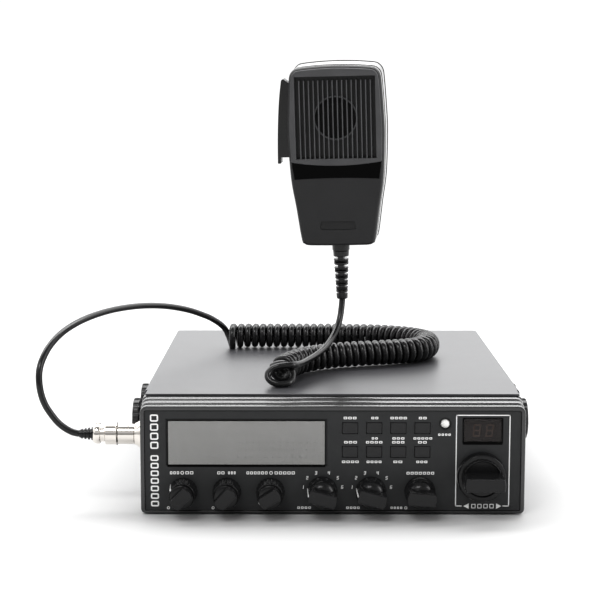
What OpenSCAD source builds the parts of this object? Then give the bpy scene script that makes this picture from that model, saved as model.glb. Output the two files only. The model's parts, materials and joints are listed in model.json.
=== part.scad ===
// Slim mobile transceiver with a fist microphone on a curly cord.
// Millimetres. Origin: middle of the case's bottom, +Z up, the control face looks along -Y.

/* [Case] */
// Overall width of the case
case_w = 200; // [196:1:206]
// Overall height of the case
case_h = 60.7; // [59.5:0.1:63]
// Depth from the control face to the rear wall
case_d = 235; // [230:1:245]
// Thickness of the steel covers
sheet_t = 1; // [0.8:0.1:1.2]
// Thickness of the chassis rails and rear wall
rail_t = 1.5; // [1.2:0.1:2]
// Radius of the covers' folded corners
fold_r = 1.6; // [1.4:0.1:4]

/* [Front frame] */
// Height of the front frame at the control face
face_h = 57.2; // [56.5:0.1:58]
// How many ridges run round the frame behind the face
ridge_count = 3; // [2:1:4]
// Distance from one ridge to the next
ridge_pitch = 4.8; // [4.5:0.1:5]
// Depth of the frame's side walls
frame_d = 26; // [26:0.5:30]
// Thickness of the front panel
panel_t = 3; // [2.5:0.1:3]

/* [Controls] */
// Height of the row of knobs above the bottom
knob_row_z = 12; // [11.8:0.1:12.4]
// Distance between the dual controls
dual_pitch = 22.7; // [22:0.1:23]
// Distance between the selector knobs
selector_pitch = 25.4; // [25:0.1:25.6]
// Distance between push-buttons across the panel
key_pitch = 12.5; // [12.2:0.1:12.8]
// Travel of a push-button
key_travel = 0.8; // [0.5:0.1:0.8]
// Running clearance of a shaft in its bush
shaft_play = 0.08; // [0.05:0.01:0.1]

/* [Bracket screws] */
// Diameter of the fluted heads
thumb_d = 22; // [20:1:22]
// Thickness of the fluted heads
thumb_t = 4.7; // [4.5:0.1:6]
// Height of the bracket screws above the bottom
thumb_z = 43.3; // [42:0.1:44]

/* [Microphone] */
// Diameter of the cord
cord_d = 3.4; // [3.2:0.1:3.6]
// Outer diameter of the curly part
curl_d = 15; // [14:0.5:15]
// Depth of the front shell
front_shell_t = 14; // [13:0.5:15]
// Depth of the rear shell
rear_shell_t = 18; // [16:0.5:20]
// Wall thickness of the handset shells
shell_wall = 2; // [1.8:0.1:2.2]

/* [Hidden] */
$fn = 48;

eps = 0.01;
face_y = -case_d / 2;
// Front frame
groove_w = 0.7;
groove_depth = 0.9;
ridge_d = ridge_count * ridge_pitch;
ridge_step = (case_h - face_h) / ridge_count;
frame_wall = 4;
panel_low = 1.8;
panel_high = 54.5;
panel_side = 2.5;
panel_gap = 0.25;
panel_set_back = 0.5;
seam = 0.3;
half_h = case_h / 2;
// Windows in the panel: low corner and size
meter_at = [-85.4, 26.7];
meter_size = [81.4, 22.5];
channel_at = [68.3, 38.6];
channel_size = [18.8, 10.9];
window_rim = 1.2;
lens_t = 1.5;
led_at = [58.2, 47.9];
led_r = 2.2;
// Knobs
dual_x = [for (i = [0:2]) -77.7 + i * dual_pitch];
selector_x = [for (i = [0:2]) -5.4 + i * selector_pitch];
channel_knob_at = [77.2, 20.3];
bush_r = 3.5;
outer_shaft_r = 2.92;
inner_shaft_r = 1.6;
pot_front = 8.5;
pot_back = 17.8;
pot_r = 8.6;
knob_lift = 0.9;
// Push-buttons, numbered along the upper row and then along the lower one
key_x0 = 9;
key_rows = [45.5, 32.9];
key_size = [7.9, 5.8];
key_play = 0.2;
board_back = 18;
board_t = 1.6;
tact_h = 3.9;
// Side screws
thumb_back = [36, 78];
thumb_gap_left = 2.2;
thumb_gap_right = 0.3;
thumb_shank_r = 2.42;
cover_screw_back = [112, 205];
cover_screw_z = [12, 52];
// Microphone socket and plug, measured outwards from the left wall
socket_back = 16;
socket_z = 39;
socket_r = 6;
nose_r = 4.62;
ring_span = [4.3, 13.2];
plug_span = [13.5, 19.6, 22.5, 26.3];
boot_end = 33.8;
// Rear connectors
antenna_at = [-75, 36];
antenna_r = 7.94;
jack_x = [-48, -34];
jack_z = 44;
jack_r = 1.8;
inlet_at = [-42, 17];
// Loudspeaker
speaker_back = 130;
speaker_r = 38;
// Handset: where the cord enters it, and how it leans and turns
handset_at = [6.1, -15.5, 133];
handset_lean = [4.4, -1.7, 0];
handset_turn = -6;
handset_half = [[0, 0], [17, 0.2], [19.4, 1.2], [21, 3.8], [26.1, 38.5], [27.2, 62],
    [26.9, 75], [25.9, 92], [25.1, 96.6], [23.2, 99], [20.4, 100.1], [10, 101], [0, 101.3]];
shell_split = -3;
grille_low = 49.7;
grille_high = 95.4;
grille_w = 45;
rib_pitch = 2.65;
label_low = 9.3;
label_high = 14.3;
capsule_z = 72.3;
pivot = [-23.2, 90];
lever_y = [-13.1, -4.6];
relief_l = 33;
rear_screws = [[-17, 86], [17, 86], [0, 14]];
hanger_z = 60;

// Route of the lead from the plug's boot to the start of the curly part
lead_route = [[-133.8, -101.5, 39], [-137.5, -101.8, 40], [-141.3, -102.4, 42.3],
    [-144.8, -103, 45.5], [-148, -103.5, 49.8], [-151, -103.8, 54.8], [-153, -103.9, 60.5],
    [-154, -103.6, 67], [-154, -101.7, 73.3], [-152.7, -97.3, 78.9], [-150.2, -90.3, 84.2],
    [-146, -80.6, 89], [-140, -67.6, 92.6], [-132.5, -51, 94.7], [-123, -30, 95.3],
    [-111.2, -6.6, 94.1], [-99, 15, 91.1], [-87, 31, 86.8], [-77.2, 40.8, 82],
    [-69.6, 47, 77.4], [-63.2, 52.4, 71.9]];
// Route of the middle line of the curly part
curl_z = case_h + curl_d / 2 + 0.1;
curl_route = [[-62.4, 48], [-46, 48], [-22, 48.2], [9, 47.8], [29.5, 44.8], [43.8, 38.4],
    [52.8, 31], [58.2, 21], [58.5, 10.8], [55.8, 0.6], [48.7, -8], [37.8, -13.5], [23.8, -18],
    [10, -22.5], [-2, -29], [-11, -37], [-18.5, -47.5], [-23.5, -59.5], [-26, -68], [-27, -74.5]];
// Route of the lead from the curly part, round one loose turn and up to the handset
handset_lead_route = [[-21.2, -75, 68.2], [-20.6, -78.4, 65.3], [-22.8, -82.8, 63],
    [-28, -85, 62.5], [-32.8, -84, 64], [-34.5, -81.6, 67], [-32.2, -79.6, 69.9],
    [-27.4, -78.8, 71.4], [-21, -77.4, 71.6], [-17.4, -70.4, 71], [-14, -61, 70.9],
    [-8.4, -47.6, 71.9], [-3.2, -36.6, 74.3], [0.9, -27.2, 78.2], [3.9, -21, 83],
    [5.7, -17, 88.5], [6.6, -14.6, 93.8], [7, -13.1, 99.1]];

// ---- helpers ----

// Extrudes a front-view outline along Y between two distances behind the control face
module behind_face(near, far) {
    translate([0, face_y + far, 0]) rotate([90, 0, 0]) linear_extrude(far - near) children();
}

// Places a part that is drawn with its axis along +Z so that it looks out of the control face
module on_face(at, back = 0) {
    translate([at[0], face_y + back, at[1]]) rotate([90, 0, 0]) children();
}

// Places a part drawn along +Z on a side wall, pointing outwards: side -1 is left, 1 is right
module on_side(side, back, z) {
    translate([side * case_w / 2, face_y + back, z]) rotate([0, side * 90, 0]) children();
}

// Places a part drawn along +Z so that it points out of the rear wall
module on_rear(at, out = 0) {
    translate([at[0], case_d / 2 + out, at[1]]) rotate([-90, 0, 0]) children();
}

// Front-view rectangle centred on X with its own lower and upper corner radii
module round_plate(w, low, high, r_low, r_high) {
    translate([-w / 2, low + r_low]) square([w, high - low - r_low - r_high]);
    translate([-w / 2 + r_low, low]) square([w - 2 * r_low, r_low + eps]);
    translate([-w / 2 + r_high, high - r_high - eps]) square([w - 2 * r_high, r_high + eps]);
    for (side = [-1, 1]) {
        translate([side * (w / 2 - r_low), low + r_low]) circle(r_low);
        translate([side * (w / 2 - r_high), high - r_high]) circle(r_high);
    }
}

// Channel section that opens downwards, cut off below half height
module cover_section() {
    difference() {
        round_plate(case_w, 0, case_h, 1, fold_r);
        round_plate(case_w - 2 * sheet_t, -2, case_h - sheet_t, 1, fold_r - sheet_t);
        translate([-case_w, -eps]) square([2 * case_w, half_h + seam]);
    }
}

module window_hole(at, size, grow = 0) {
    translate([at[0] - grow, at[1] - grow]) square([size[0] + 2 * grow, size[1] + 2 * grow]);
}

// Points of a closed ring round point p, perpendicular to direction d
function unit(v) = v / norm(v);
function ring(p, d, r, sides) = let (side = unit(cross(d, [0.02, 0.01, 1])), up = cross(side, d))
    [for (k = [0:sides - 1]) let (a = 360 * k / sides) p + r * (cos(a) * side + sin(a) * up)];
function direction(path, i) =
    unit(path[min(i + 1, len(path) - 1)] - path[max(i - 1, 0)]);
// Smooth curve through the route's points, with a few steps from each point to the next
function spline_at(p0, p1, p2, p3, t) = 0.5 * (2 * p1 + (p2 - p0) * t
    + (2 * p0 - 5 * p1 + 4 * p2 - p3) * t * t + (3 * p1 - p0 - 3 * p2 + p3) * t * t * t);
function smooth(route, steps) = let (last = len(route) - 1) concat(
    [for (i = [0:last - 1], k = [0:steps - 1]) spline_at(route[max(i - 1, 0)], route[i],
        route[i + 1], route[min(i + 2, last)], k / steps)], [route[last]]);

// Tube of round section swept along a path
module tube(path, d, sides) {
    rings = len(path);
    points = [for (i = [0:rings - 1]) each ring(path[i], direction(path, i), d / 2, sides)];
    walls = [for (i = [0:rings - 2], k = [0:sides - 1])
        [i * sides + k, (i + 1) * sides + k, (i + 1) * sides + (k + 1) % sides,
            i * sides + (k + 1) % sides]];
    near_cap = [for (k = [0:sides - 1]) k];
    far_cap = [for (k = [sides - 1:-1:0]) (rings - 1) * sides + k];
    polyhedron(points = points, faces = concat([near_cap], walls, [far_cap]), convexity = 10);
}

// ---- case ----

module top_cover() {
    color([0.16, 0.16, 0.17]) difference() {
        union() {
            behind_face(frame_d + seam, case_d) cover_section();
            translate([-case_w / 2 + fold_r, face_y + ridge_d + seam, case_h - sheet_t])
                cube([case_w - 2 * fold_r, frame_d + 1 - ridge_d, sheet_t]);
        }
        for (side = [-1, 1]) {
            for (back = thumb_back) on_side(side, back, thumb_z)
                translate([0, 0, -5]) cylinder(r = 3.2, h = 10);
            for (back = cover_screw_back) on_side(side, back, cover_screw_z[1])
                translate([0, 0, -5]) cylinder(r = 1.6, h = 10);
        }
    }
}

module bottom_cover() {
    slots = 10;
    slot_pitch = 6;
    color([0.16, 0.16, 0.17]) difference() {
        translate([0, 0, case_h]) mirror([0, 0, 1])
            behind_face(frame_d + seam, case_d) cover_section();
        for (i = [0:slots - 1])
            translate([(i - (slots - 1) / 2) * slot_pitch - 1.1, face_y + speaker_back - 22, -1])
                cube([2.2, 44, 4]);
        for (side = [-1, 1], back = cover_screw_back) on_side(side, back, cover_screw_z[0])
            translate([0, 0, -5]) cylinder(r = 1.6, h = 10);
    }
}

module chassis() {
    inner_w = case_w - 2 * sheet_t - 0.4;
    rail_front = frame_d + 1;
    rail_low = fold_r + 0.4;
    rail_h = case_h - 2 * rail_low;
    shelf_z = 34.4;
    color([0.72, 0.73, 0.74]) difference() {
        union() {
            for (side = [-1, 1]) {
                translate([side * (inner_w - rail_t) / 2 - rail_t / 2, face_y + rail_front,
                    rail_low]) cube([rail_t, case_d - rail_front - 0.5, rail_h]);
                translate([side > 0 ? inner_w / 2 - 9 : -inner_w / 2, face_y + rail_front, shelf_z])
                    cube([9, case_d - rail_front - 0.5, rail_t]);
            }
            behind_face(case_d - rail_t - 0.5, case_d - 0.5)
                round_plate(inner_w, sheet_t + 0.3, case_h - sheet_t - 0.3, fold_r, fold_r);
            // thickened seats of the bracket screws
            for (side = [-1, 1], back = thumb_back) on_side(side, back, thumb_z)
                translate([0, 0, -7]) cylinder(r = 5, h = 7 - sheet_t - 0.2);
        }
        for (side = [-1, 1]) {
            for (back = thumb_back) on_side(side, back, thumb_z)
                translate([0, 0, -14]) cylinder(r = thumb_shank_r + shaft_play, h = 20);
            for (back = cover_screw_back, z = cover_screw_z) on_side(side, back, z)
                translate([0, 0, -8]) cylinder(r = 1.5, h = 10);
        }
        on_rear(antenna_at, -5) cylinder(r = 8.2, h = 10);
        for (x = jack_x) on_rear([x, jack_z], -5) cylinder(r = 3.3, h = 10);
        translate([inlet_at[0] - 9, case_d / 2 - 5, inlet_at[1] - 5.5]) cube([18, 10, 11]);
    }
}

module heat_sink() {
    fins = 12;
    base_w = 112;
    fin_pitch = (base_w - 3) / (fins - 1);
    color([0.1, 0.1, 0.1]) translate([-15, case_d / 2, 4]) {
        translate([0, -0.3, 0]) cube([base_w, 3.8, 52]);
        for (i = [0:fins - 1]) translate([i * fin_pitch, 0, 0]) cube([3, 15, 52]);
    }
}

module front_frame() {
    color([0.13, 0.13, 0.14]) difference() {
        union() {
            for (i = [0:ridge_count - 1]) {
                top = face_h + i * ridge_step;
                behind_face(i * ridge_pitch, (i + 1) * ridge_pitch - groove_w)
                    round_plate(case_w, 0, top, 2.5, 4);
                behind_face(i * ridge_pitch, (i + 1) * ridge_pitch + eps)
                    round_plate(case_w - 2 * groove_depth, groove_depth, top - groove_depth, 2, 3.5);
            }
            behind_face(ridge_d, frame_d)
                round_plate(case_w, 0, case_h - sheet_t - 0.2, 2.5, fold_r);
        }
        behind_face(-1, panel_set_back + panel_t + 0.2)
            round_plate(case_w - 2 * panel_side + 2 * panel_gap, panel_low - panel_gap,
                panel_high + panel_gap, 1, 1);
        behind_face(-1, frame_d + 1)
            round_plate(case_w - 2 * frame_wall, 3.2, 53, 1, 1);
        on_side(-1, socket_back, socket_z) translate([0, 0, -frame_wall - 1])
            cylinder(r = socket_r + 0.1, h = frame_wall + 2);
    }
}

module front_panel() {
    color([0.11, 0.11, 0.115]) difference() {
        behind_face(panel_set_back, panel_set_back + panel_t) difference() {
            round_plate(case_w - 2 * panel_side, panel_low, panel_high, 0.8, 0.8);
            window_hole(meter_at, meter_size);
            window_hole(channel_at, channel_size);
            translate(led_at) circle(led_r + 0.15);
            for (x = dual_x) translate([x, knob_row_z]) circle(bush_r + 0.1);
            for (x = selector_x) translate([x, knob_row_z]) circle(bush_r + 0.1);
            translate(channel_knob_at) circle(bush_r + 0.1);
            for (row = key_rows, i = [0:3])
                window_hole([key_x0 + i * key_pitch - key_size[0] / 2, row - key_size[1] / 2],
                    key_size, key_play);
        }
        // stepped rims of the two windows and of the lamp
        behind_face(0, panel_set_back + 0.8) {
            window_hole(meter_at, meter_size, window_rim);
            window_hole(channel_at, channel_size, window_rim);
            translate(led_at) circle(led_r + 1.1);
        }
    }
}

// Clear window that fills its hole, with a flange behind the panel
module lens(at, size) {
    back = panel_set_back + panel_t;
    behind_face(back - lens_t, back + 0.1) window_hole(at, size, -0.1);
    behind_face(back + 0.1, back + 1) window_hole(at, size, 1);
}

module meter_lens() {
    color([0.52, 0.52, 0.5]) lens(meter_at, meter_size);
}

module channel_lens() {
    color([0.1, 0.08, 0.08]) lens(channel_at, channel_size);
}

module meter_display() {
    color([0.42, 0.44, 0.42]) behind_face(4.8, 9.5) window_hole(meter_at, meter_size, 0.8);
}

module channel_display() {
    color([0.2, 0.19, 0.19]) behind_face(4.8, 12) window_hole(channel_at, channel_size, 0.8);
}

module status_led() {
    color([0.93, 0.93, 0.9]) on_face(led_at) {
        translate([0, 0, -0.4]) intersection() {
            sphere(r = led_r);
            translate([-5, -5, 0]) cube(10);
        }
        translate([0, 0, -6]) cylinder(r = led_r, h = 5.6 + eps);
        translate([0, 0, -6]) cylinder(r = led_r + 0.5, h = 1);
    }
}

module front_board() {
    color([0.1, 0.35, 0.2]) {
        behind_face(board_back, board_back + board_t)
            translate([-89, 5]) square([178, 46]);
        for (row = key_rows, i = [0:3]) on_face([key_x0 + i * key_pitch, row], board_back + eps) {
            translate([-3, -3, 0]) cube([6, 6, 3.4]);
            cylinder(r = 1.7, h = tact_h);
        }
        behind_face(board_back + board_t - eps, board_back + board_t + 5)
            translate([-60, 42]) square([46, 6]);
    }
}

module main_board() {
    board_z = 36;
    color([0.12, 0.38, 0.22]) {
        translate([-90, face_y + 45, board_z]) cube([180, 180, board_t]);
        // screened compartments, coils and capacitors
        for (can = [[-70, 70, 36, 44], [-24, 70, 30, 30], [14, 60, 46, 36], [30, 120, 44, 50]])
            translate([can[0], face_y + can[1], board_z + board_t - eps]) cube([can[2], can[3], 12]);
        for (i = [0:4]) translate([-72 + 16 * i, face_y + 150, board_z + board_t - eps])
            cylinder(r = 5, h = 15);
        for (i = [0:5]) translate([-78 + 15 * i, face_y + 176, board_z + board_t - eps])
            cube([8, 8, 10]);
    }
}

// ---- control bodies behind the panel ----

// Round control body with a threaded bush through the panel and a bore for the shaft
module control_body(x, z, r) {
    difference() {
        union() {
            on_face([x, z], pot_back) cylinder(r = r, h = pot_back - pot_front);
            on_face([x, z], pot_front + eps) cylinder(r = bush_r, h = pot_front - 1.2);
        }
        on_face([x, z], 15.5) cylinder(r = outer_shaft_r + shaft_play, h = 20);
    }
}

module potentiometers() {
    color([0.6, 0.6, 0.6]) for (x = dual_x) control_body(x, knob_row_z, pot_r);
}

module selector_switches() {
    color([0.55, 0.52, 0.45]) for (i = [0:1]) control_body(selector_x[i], knob_row_z, pot_r);
}

module encoders() {
    color([0.62, 0.62, 0.6]) {
        control_body(selector_x[2], knob_row_z, 7);
        control_body(channel_knob_at[0], channel_knob_at[1], 7);
    }
}

module clarifier_shaft() {
    color([0.75, 0.75, 0.76]) on_face([selector_x[2], knob_row_z], 14)
        cylinder(r = outer_shaft_r, h = 23.6);
}

// ---- knobs: each is drawn along +Z from its base, with its shaft below ----

// Fluted outer ring of a dual control on its hollow shaft
module fluted_ring(pointer) {
    base_r = 7.5;
    front_r = 6.85;
    h = 10.6;
    flutes = 22;
    taper = atan((base_r - front_r) / h);
    rotate(pointer) difference() {
        rotate_extrude() polygon([[inner_shaft_r + shaft_play, -12.5], [outer_shaft_r, -12.5],
            [outer_shaft_r, 0], [base_r, 0], [front_r + 0.05, h - 0.6], [front_r - 0.5, h],
            [6.35, h], [6.35, h - 1.6], [inner_shaft_r + shaft_play, h - 1.6]]);
        for (k = [0:flutes - 1]) rotate(360 * k / flutes)
            translate([base_r + 0.12, 0, -1]) rotate([0, -taper, 0]) cylinder(r = 0.42, h = h + 3, $fn = 16);
    }
}

// Inner knob of a dual control: a disc with a grip bar across it, on a solid shaft
module inner_knob(turn) {
    disc_r = 6.1;
    rotate(turn) {
        translate([0, 0, -15]) cylinder(r = inner_shaft_r, h = 15.3 + 9);
        translate([0, 0, 9.3]) cylinder(r = disc_r, h = 2.8);
        intersection() {
            translate([0, 0, 9.3]) cylinder(r1 = disc_r, r2 = disc_r - 0.3, h = 7.6);
            translate([-disc_r, -3.4, 9.3]) cube([2 * disc_r, 6.8, 7.6]);
        }
    }
}

// Selector knob: a domed skirt with a grip bar across it
module bar_knob(turn, shaft) {
    base_r = 8.1;
    front_r = 7.4;
    h = 17.2;
    rotate(turn) difference() {
        union() {
            cylinder(r1 = base_r, r2 = base_r - 0.3, h = 4.5);
            translate([0, 0, 4.5 - eps]) cylinder(r1 = base_r - 0.6, r2 = 3.6, h = 4.5);
            intersection() {
                cylinder(r1 = base_r, r2 = front_r, h = h);
                translate([-9, -3.6, 0]) cube([18, 7.2, h]);
            }
            if (shaft) translate([0, 0, -15]) cylinder(r = outer_shaft_r, h = 16);
        }
        if (!shaft) translate([0, 0, -1]) cylinder(r = outer_shaft_r + shaft_play, h = 11);
    }
}

// Large channel knob: a wide skirt, a scalloped crown and a grip bar
module big_knob() {
    skirt_r = 12.9;
    crown_r = 10.2;
    scallops = 28;
    cylinder(r1 = skirt_r, r2 = skirt_r - 0.6, h = 5.4);
    difference() {
        translate([0, 0, 5.4 - eps]) cylinder(r = crown_r, h = 1.8);
        for (k = [0:scallops - 1]) rotate(360 * k / scallops)
            translate([crown_r + 0.35, 0, 5]) cylinder(r = 0.7, h = 3, $fn = 16);
    }
    intersection() {
        cylinder(r1 = crown_r + 0.6, r2 = crown_r, h = 21);
        translate([-12, -3.5, 0]) cube([24, 7, 21]);
    }
    translate([0, 0, -15]) cylinder(r = outer_shaft_r, h = 16);
}

module at_dual(i) {
    on_face([dual_x[i], knob_row_z], panel_set_back - knob_lift) children();
}

module at_selector(i) {
    on_face([selector_x[i], knob_row_z], panel_set_back - knob_lift) children();
}

knob_colour = [0.09, 0.09, 0.095];
module squelch_ring() { color(knob_colour) at_dual(0) fluted_ring(150); }
module tone_ring() { color(knob_colour) at_dual(1) fluted_ring(220); }
module power_ring() { color(knob_colour) at_dual(2) fluted_ring(215); }
module volume_knob() { color(knob_colour) at_dual(0) inner_knob(45); }
module echo_knob() { color(knob_colour) at_dual(1) inner_knob(48); }
module gain_knob() { color(knob_colour) at_dual(2) inner_knob(32); }
module band_knob() { color(knob_colour) at_selector(0) bar_knob(165, true); }
module mode_knob() { color(knob_colour) at_selector(1) bar_knob(165, true); }
module clarifier_knob() { color(knob_colour) at_selector(2) bar_knob(-4, false); }
module channel_knob() {
    color(knob_colour) on_face(channel_knob_at, panel_set_back - knob_lift) big_knob();
}

// ---- push-buttons ----

module button(column, row) {
    color([0.12, 0.12, 0.125]) on_face([key_x0 + column * key_pitch, key_rows[row]]) {
        translate([-key_size[0] / 2, -key_size[1] / 2, -6]) cube([key_size[0], key_size[1], 5.9]);
        translate([-key_size[0] / 2 - 0.7, -key_size[1] / 2 - 0.7, -4.8])
            cube([key_size[0] + 1.4, key_size[1] + 1.4, 1]);
        translate([0, 0, -board_back + tact_h + key_travel + 0.4]) cylinder(r = 1.5, h = 8);
    }
}

// ---- bracket screws and cover screws ----

// The left pair is turned out by a bracket's thickness, the right pair is turned home
module thumb_screw(side, back) {
    flutes = 14;
    gap = side < 0 ? thumb_gap_left : thumb_gap_right;
    color([0.08, 0.08, 0.08]) on_side(side, back, thumb_z) {
        translate([0, 0, gap - 12]) cylinder(r = thumb_shank_r, h = 13);
        translate([0, 0, gap]) difference() {
            rotate_extrude() polygon([[0, 0], [thumb_d / 2 - 3.2, 0], [thumb_d / 2 - 2.6, 1.2],
                [thumb_d / 2 - 0.6, 1.4], [thumb_d / 2, 2], [thumb_d / 2, thumb_t - 1],
                [thumb_d / 2 - 1, thumb_t], [0, thumb_t]]);
            for (k = [0:flutes - 1]) rotate(360 * k / flutes)
                translate([thumb_d / 2 + 1.1, 0, -1]) cylinder(r = 1.9, h = thumb_t + 2, $fn = 24);
        }
    }
}

module cover_screws() {
    color([0.2, 0.2, 0.2]) for (side = [-1, 1], back = cover_screw_back, z = cover_screw_z)
        on_side(side, back, z) {
            translate([0, 0, -6]) cylinder(r = 1.45, h = 6.1);
            difference() {
                cylinder(r1 = 2.9, r2 = 2.3, h = 1.5);
                for (turn = [0, 90]) rotate(turn) translate([-1.4, -0.25, 0.7]) cube([2.8, 0.5, 1]);
            }
        }
}

// ---- rear and inside ----

module antenna_socket() {
    color([0.8, 0.8, 0.8]) on_rear(antenna_at) difference() {
        union() {
            translate([-12.7, -12.7, -0.4]) cube([25.4, 25.4, 2]);
            cylinder(r = antenna_r, h = 14);
            translate([0, 0, -9]) cylinder(r = 6, h = 9.5);
        }
        translate([0, 0, 8]) cylinder(r = 6.4, h = 7);
        translate([0, 0, 3]) cylinder(r = 2, h = 8);
        for (sx = [-1, 1], sy = [-1, 1]) translate([9.1 * sx, 9.1 * sy, -1])
            cylinder(r = 1.6, h = 4);
    }
}

module speaker_jacks() {
    color([0.7, 0.7, 0.7]) for (x = jack_x) on_rear([x, jack_z], -0.4) difference() {
        union() {
            cylinder(r = 5, h = 2.4, $fn = 6);
            cylinder(r = 3.2, h = 3.9);
            translate([-4, -5, -14]) cube([8, 10, 12.4]);
            translate([0, 0, -2]) cylinder(r = 3.2, h = 3);
        }
        translate([0, 0, -12]) cylinder(r = jack_r, h = 20);
    }
}

module power_inlet() {
    color([0.08, 0.08, 0.08]) translate([inlet_at[0], case_d / 2, inlet_at[1]]) difference() {
        union() {
            translate([-11.5, -0.4, -7.5]) cube([23, 9.4, 15]);
            translate([-8.8, -11, -5.3]) cube([17.6, 11, 10.6]);
        }
        translate([-9, 1.5, -5]) cube([18, 9, 10]);
        for (x = [-5, 0, 5]) translate([x, -4, 0]) rotate([-90, 0, 0]) cylinder(r = 1.3, h = 6);
    }
}

module loudspeaker() {
    color([0.25, 0.25, 0.26]) translate([0, face_y + speaker_back, sheet_t + 0.3])
        rotate_extrude() polygon([[0, 3.2], [8, 2.6], [14, 4], [speaker_r - 5, 1.4],
            [speaker_r - 4, 0], [speaker_r, 0], [speaker_r, 2], [speaker_r - 3, 3], [21, 11],
            [21, 13], [18, 13], [18, 22], [0, 22]]);
}

module power_transistors() {
    color([0.1, 0.1, 0.1]) for (i = [0:2])
        translate([8 + 26 * i, case_d / 2 - 2.1 - 4.6, 39]) cube([10.2, 4.6, 15]);
}

// ---- microphone socket and plug: drawn along +Z, outwards from the left wall ----

module mic_socket() {
    color([0.85, 0.84, 0.8]) on_side(-1, socket_back, socket_z) difference() {
        union() {
            translate([0, 0, -9]) cylinder(r = socket_r, h = 9.5);
            translate([0, 0, -frame_wall - 2.6]) cylinder(r = 8, h = 2.5, $fn = 6);
            cylinder(r1 = 8.2, r2 = 5.7, h = 4);
            cylinder(r = nose_r, h = 12);
        }
        translate([0, 0, 2]) cylinder(r = 4, h = 11);
    }
}

module coupling_ring() {
    color([0.87, 0.86, 0.82]) on_side(-1, socket_back, socket_z) difference() {
        translate([0, 0, ring_span[0]]) cylinder(r = 5.5, h = ring_span[1] - ring_span[0]);
        cylinder(r = nose_r + shaft_play, h = 20);
    }
}

module plug_body() {
    color([0.87, 0.86, 0.82]) on_side(-1, socket_back, socket_z) {
        translate([0, 0, 5]) cylinder(r = 3.9, h = 9);
        translate([0, 0, plug_span[0]]) cylinder(r = 5.95, h = plug_span[1] - plug_span[0]);
        translate([0, 0, plug_span[1] - eps]) cylinder(r = 4.3, h = plug_span[2] - plug_span[1] + 1);
        translate([0, 0, plug_span[2]]) cylinder(r = 5.4, h = plug_span[3] - plug_span[2]);
    }
}

module plug_boot() {
    color([0.07, 0.07, 0.07]) on_side(-1, socket_back, socket_z) {
        translate([0, 0, plug_span[3]]) cylinder(r1 = 2.8, r2 = 2.1, h = boot_end - plug_span[3]);
        for (i = [0:2]) translate([0, 0, plug_span[3] + 0.4 + 2.2 * i])
            cylinder(r = 3.3 - 0.25 * i, h = 1.1);
    }
}

// ---- cord ----

module lead() {
    color([0.06, 0.06, 0.06]) tube(smooth(lead_route, 3), cord_d, 8);
}

module curl() {
    route = [for (p = curl_route) [p[0], p[1], curl_z]];
    color([0.05, 0.05, 0.05]) tube(smooth(route, 3), curl_d, 12);
}

module handset_lead() {
    color([0.06, 0.06, 0.06]) tube(smooth(handset_lead_route, 3), cord_d, 8);
}

// ---- handset: drawn upright with its lower end at the origin and its grille towards -Y ----

module in_hand() {
    translate(handset_at) rotate(handset_lean) rotate(handset_turn) children();
}

// Handset outline: the half outline mirrored about its middle, grown or shrunk all round
function end_side(z) = z > 94 ? 1 : (z < 6 ? -1 : 0);
function half_outline(grow) = [for (p = handset_half)
    [p[0] == 0 ? 0 : p[0] + grow, p[1] + grow * end_side(p[1])]];
function whole_outline(grow) = let (half = half_outline(grow), n = len(half)) concat(half,
    [for (i = [n - 2:-1:1]) [-half[i][0], half[i][1]]]);

module handset_slab(y_low, y_high, grow = 0) {
    translate([0, y_high, 0]) rotate([90, 0, 0]) linear_extrude(y_high - y_low)
        polygon(whole_outline(grow));
}

module strain_relief() {
    cells = 6;
    cell = (relief_l - 5.6) / cells;
    color([0.08, 0.08, 0.08]) in_hand() {
        translate([0, 0, -5.6]) cylinder(r1 = 4.7, r2 = 5.1, h = 5.5);
        translate([0, 0, -relief_l]) cylinder(r1 = 2.2, r2 = 3, h = relief_l - 5);
        for (i = [0:cells - 1]) translate([0, 0, -5.6 - cell * (i + 1)])
            cylinder(r = 4.4 - 0.17 * i, h = cell * 0.62);
    }
}

module handset_front() {
    ribs = 16;
    front = shell_split - front_shell_t;
    color([0.14, 0.14, 0.15]) in_hand() difference() {
        union() {
            difference() {
                handset_slab(front, shell_split);
                handset_slab(front + shell_wall + 1.6, shell_split + 1, -shell_wall);
                // grille recess and the round opening behind its ribs
                translate([-grille_w / 2, front - 1, grille_low])
                    cube([grille_w, 1 + 2, grille_high - grille_low]);
                translate([0, front - 1, capsule_z]) rotate([-90, 0, 0]) cylinder(r = 11.5, h = 8);
                // window of the talk lever
                translate([-40, lever_y[0] - 0.2, 45.5])
                    cube([18.5, lever_y[1] - lever_y[0] + 0.4, 49.5]);
                // blank label recess
                translate([-10, front - 1, label_low]) cube([20, 1.6, label_high - label_low]);
            }
            for (i = [0:ribs - 1]) translate([(i - (ribs - 1) / 2) * rib_pitch - 0.6, front + 0.3,
                grille_low - 0.5]) cube([1.2, 1.9, grille_high - grille_low + 1]);
            translate([pivot[0], shell_split - 0.6, pivot[1]]) rotate([90, 0, 0])
                cylinder(r = 1, h = lever_y[1] - lever_y[0] + 2);
        }
        // way in for the cord
        translate([0, shell_split, -2]) cylinder(r = 3.2, h = 6);
    }
}

module handset_rear() {
    back = shell_split + rear_shell_t;
    color([0.2, 0.2, 0.21]) in_hand() difference() {
        handset_slab(shell_split + 0.05, back, 0.9);
        handset_slab(shell_split - 1, back - shell_wall, -shell_wall);
        translate([0, shell_split, -2]) cylinder(r = 3.2, h = 6);
        translate([0, 0, -3]) cylinder(r = 5.4, h = 3);
        for (at = rear_screws) translate([at[0], back - 8, at[1]])
            rotate([-90, 0, 0]) cylinder(r = 1.5, h = 10);
        translate([0, back - 5, hanger_z]) rotate([-90, 0, 0]) cylinder(r = 2.05, h = 10);
    }
}

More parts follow.
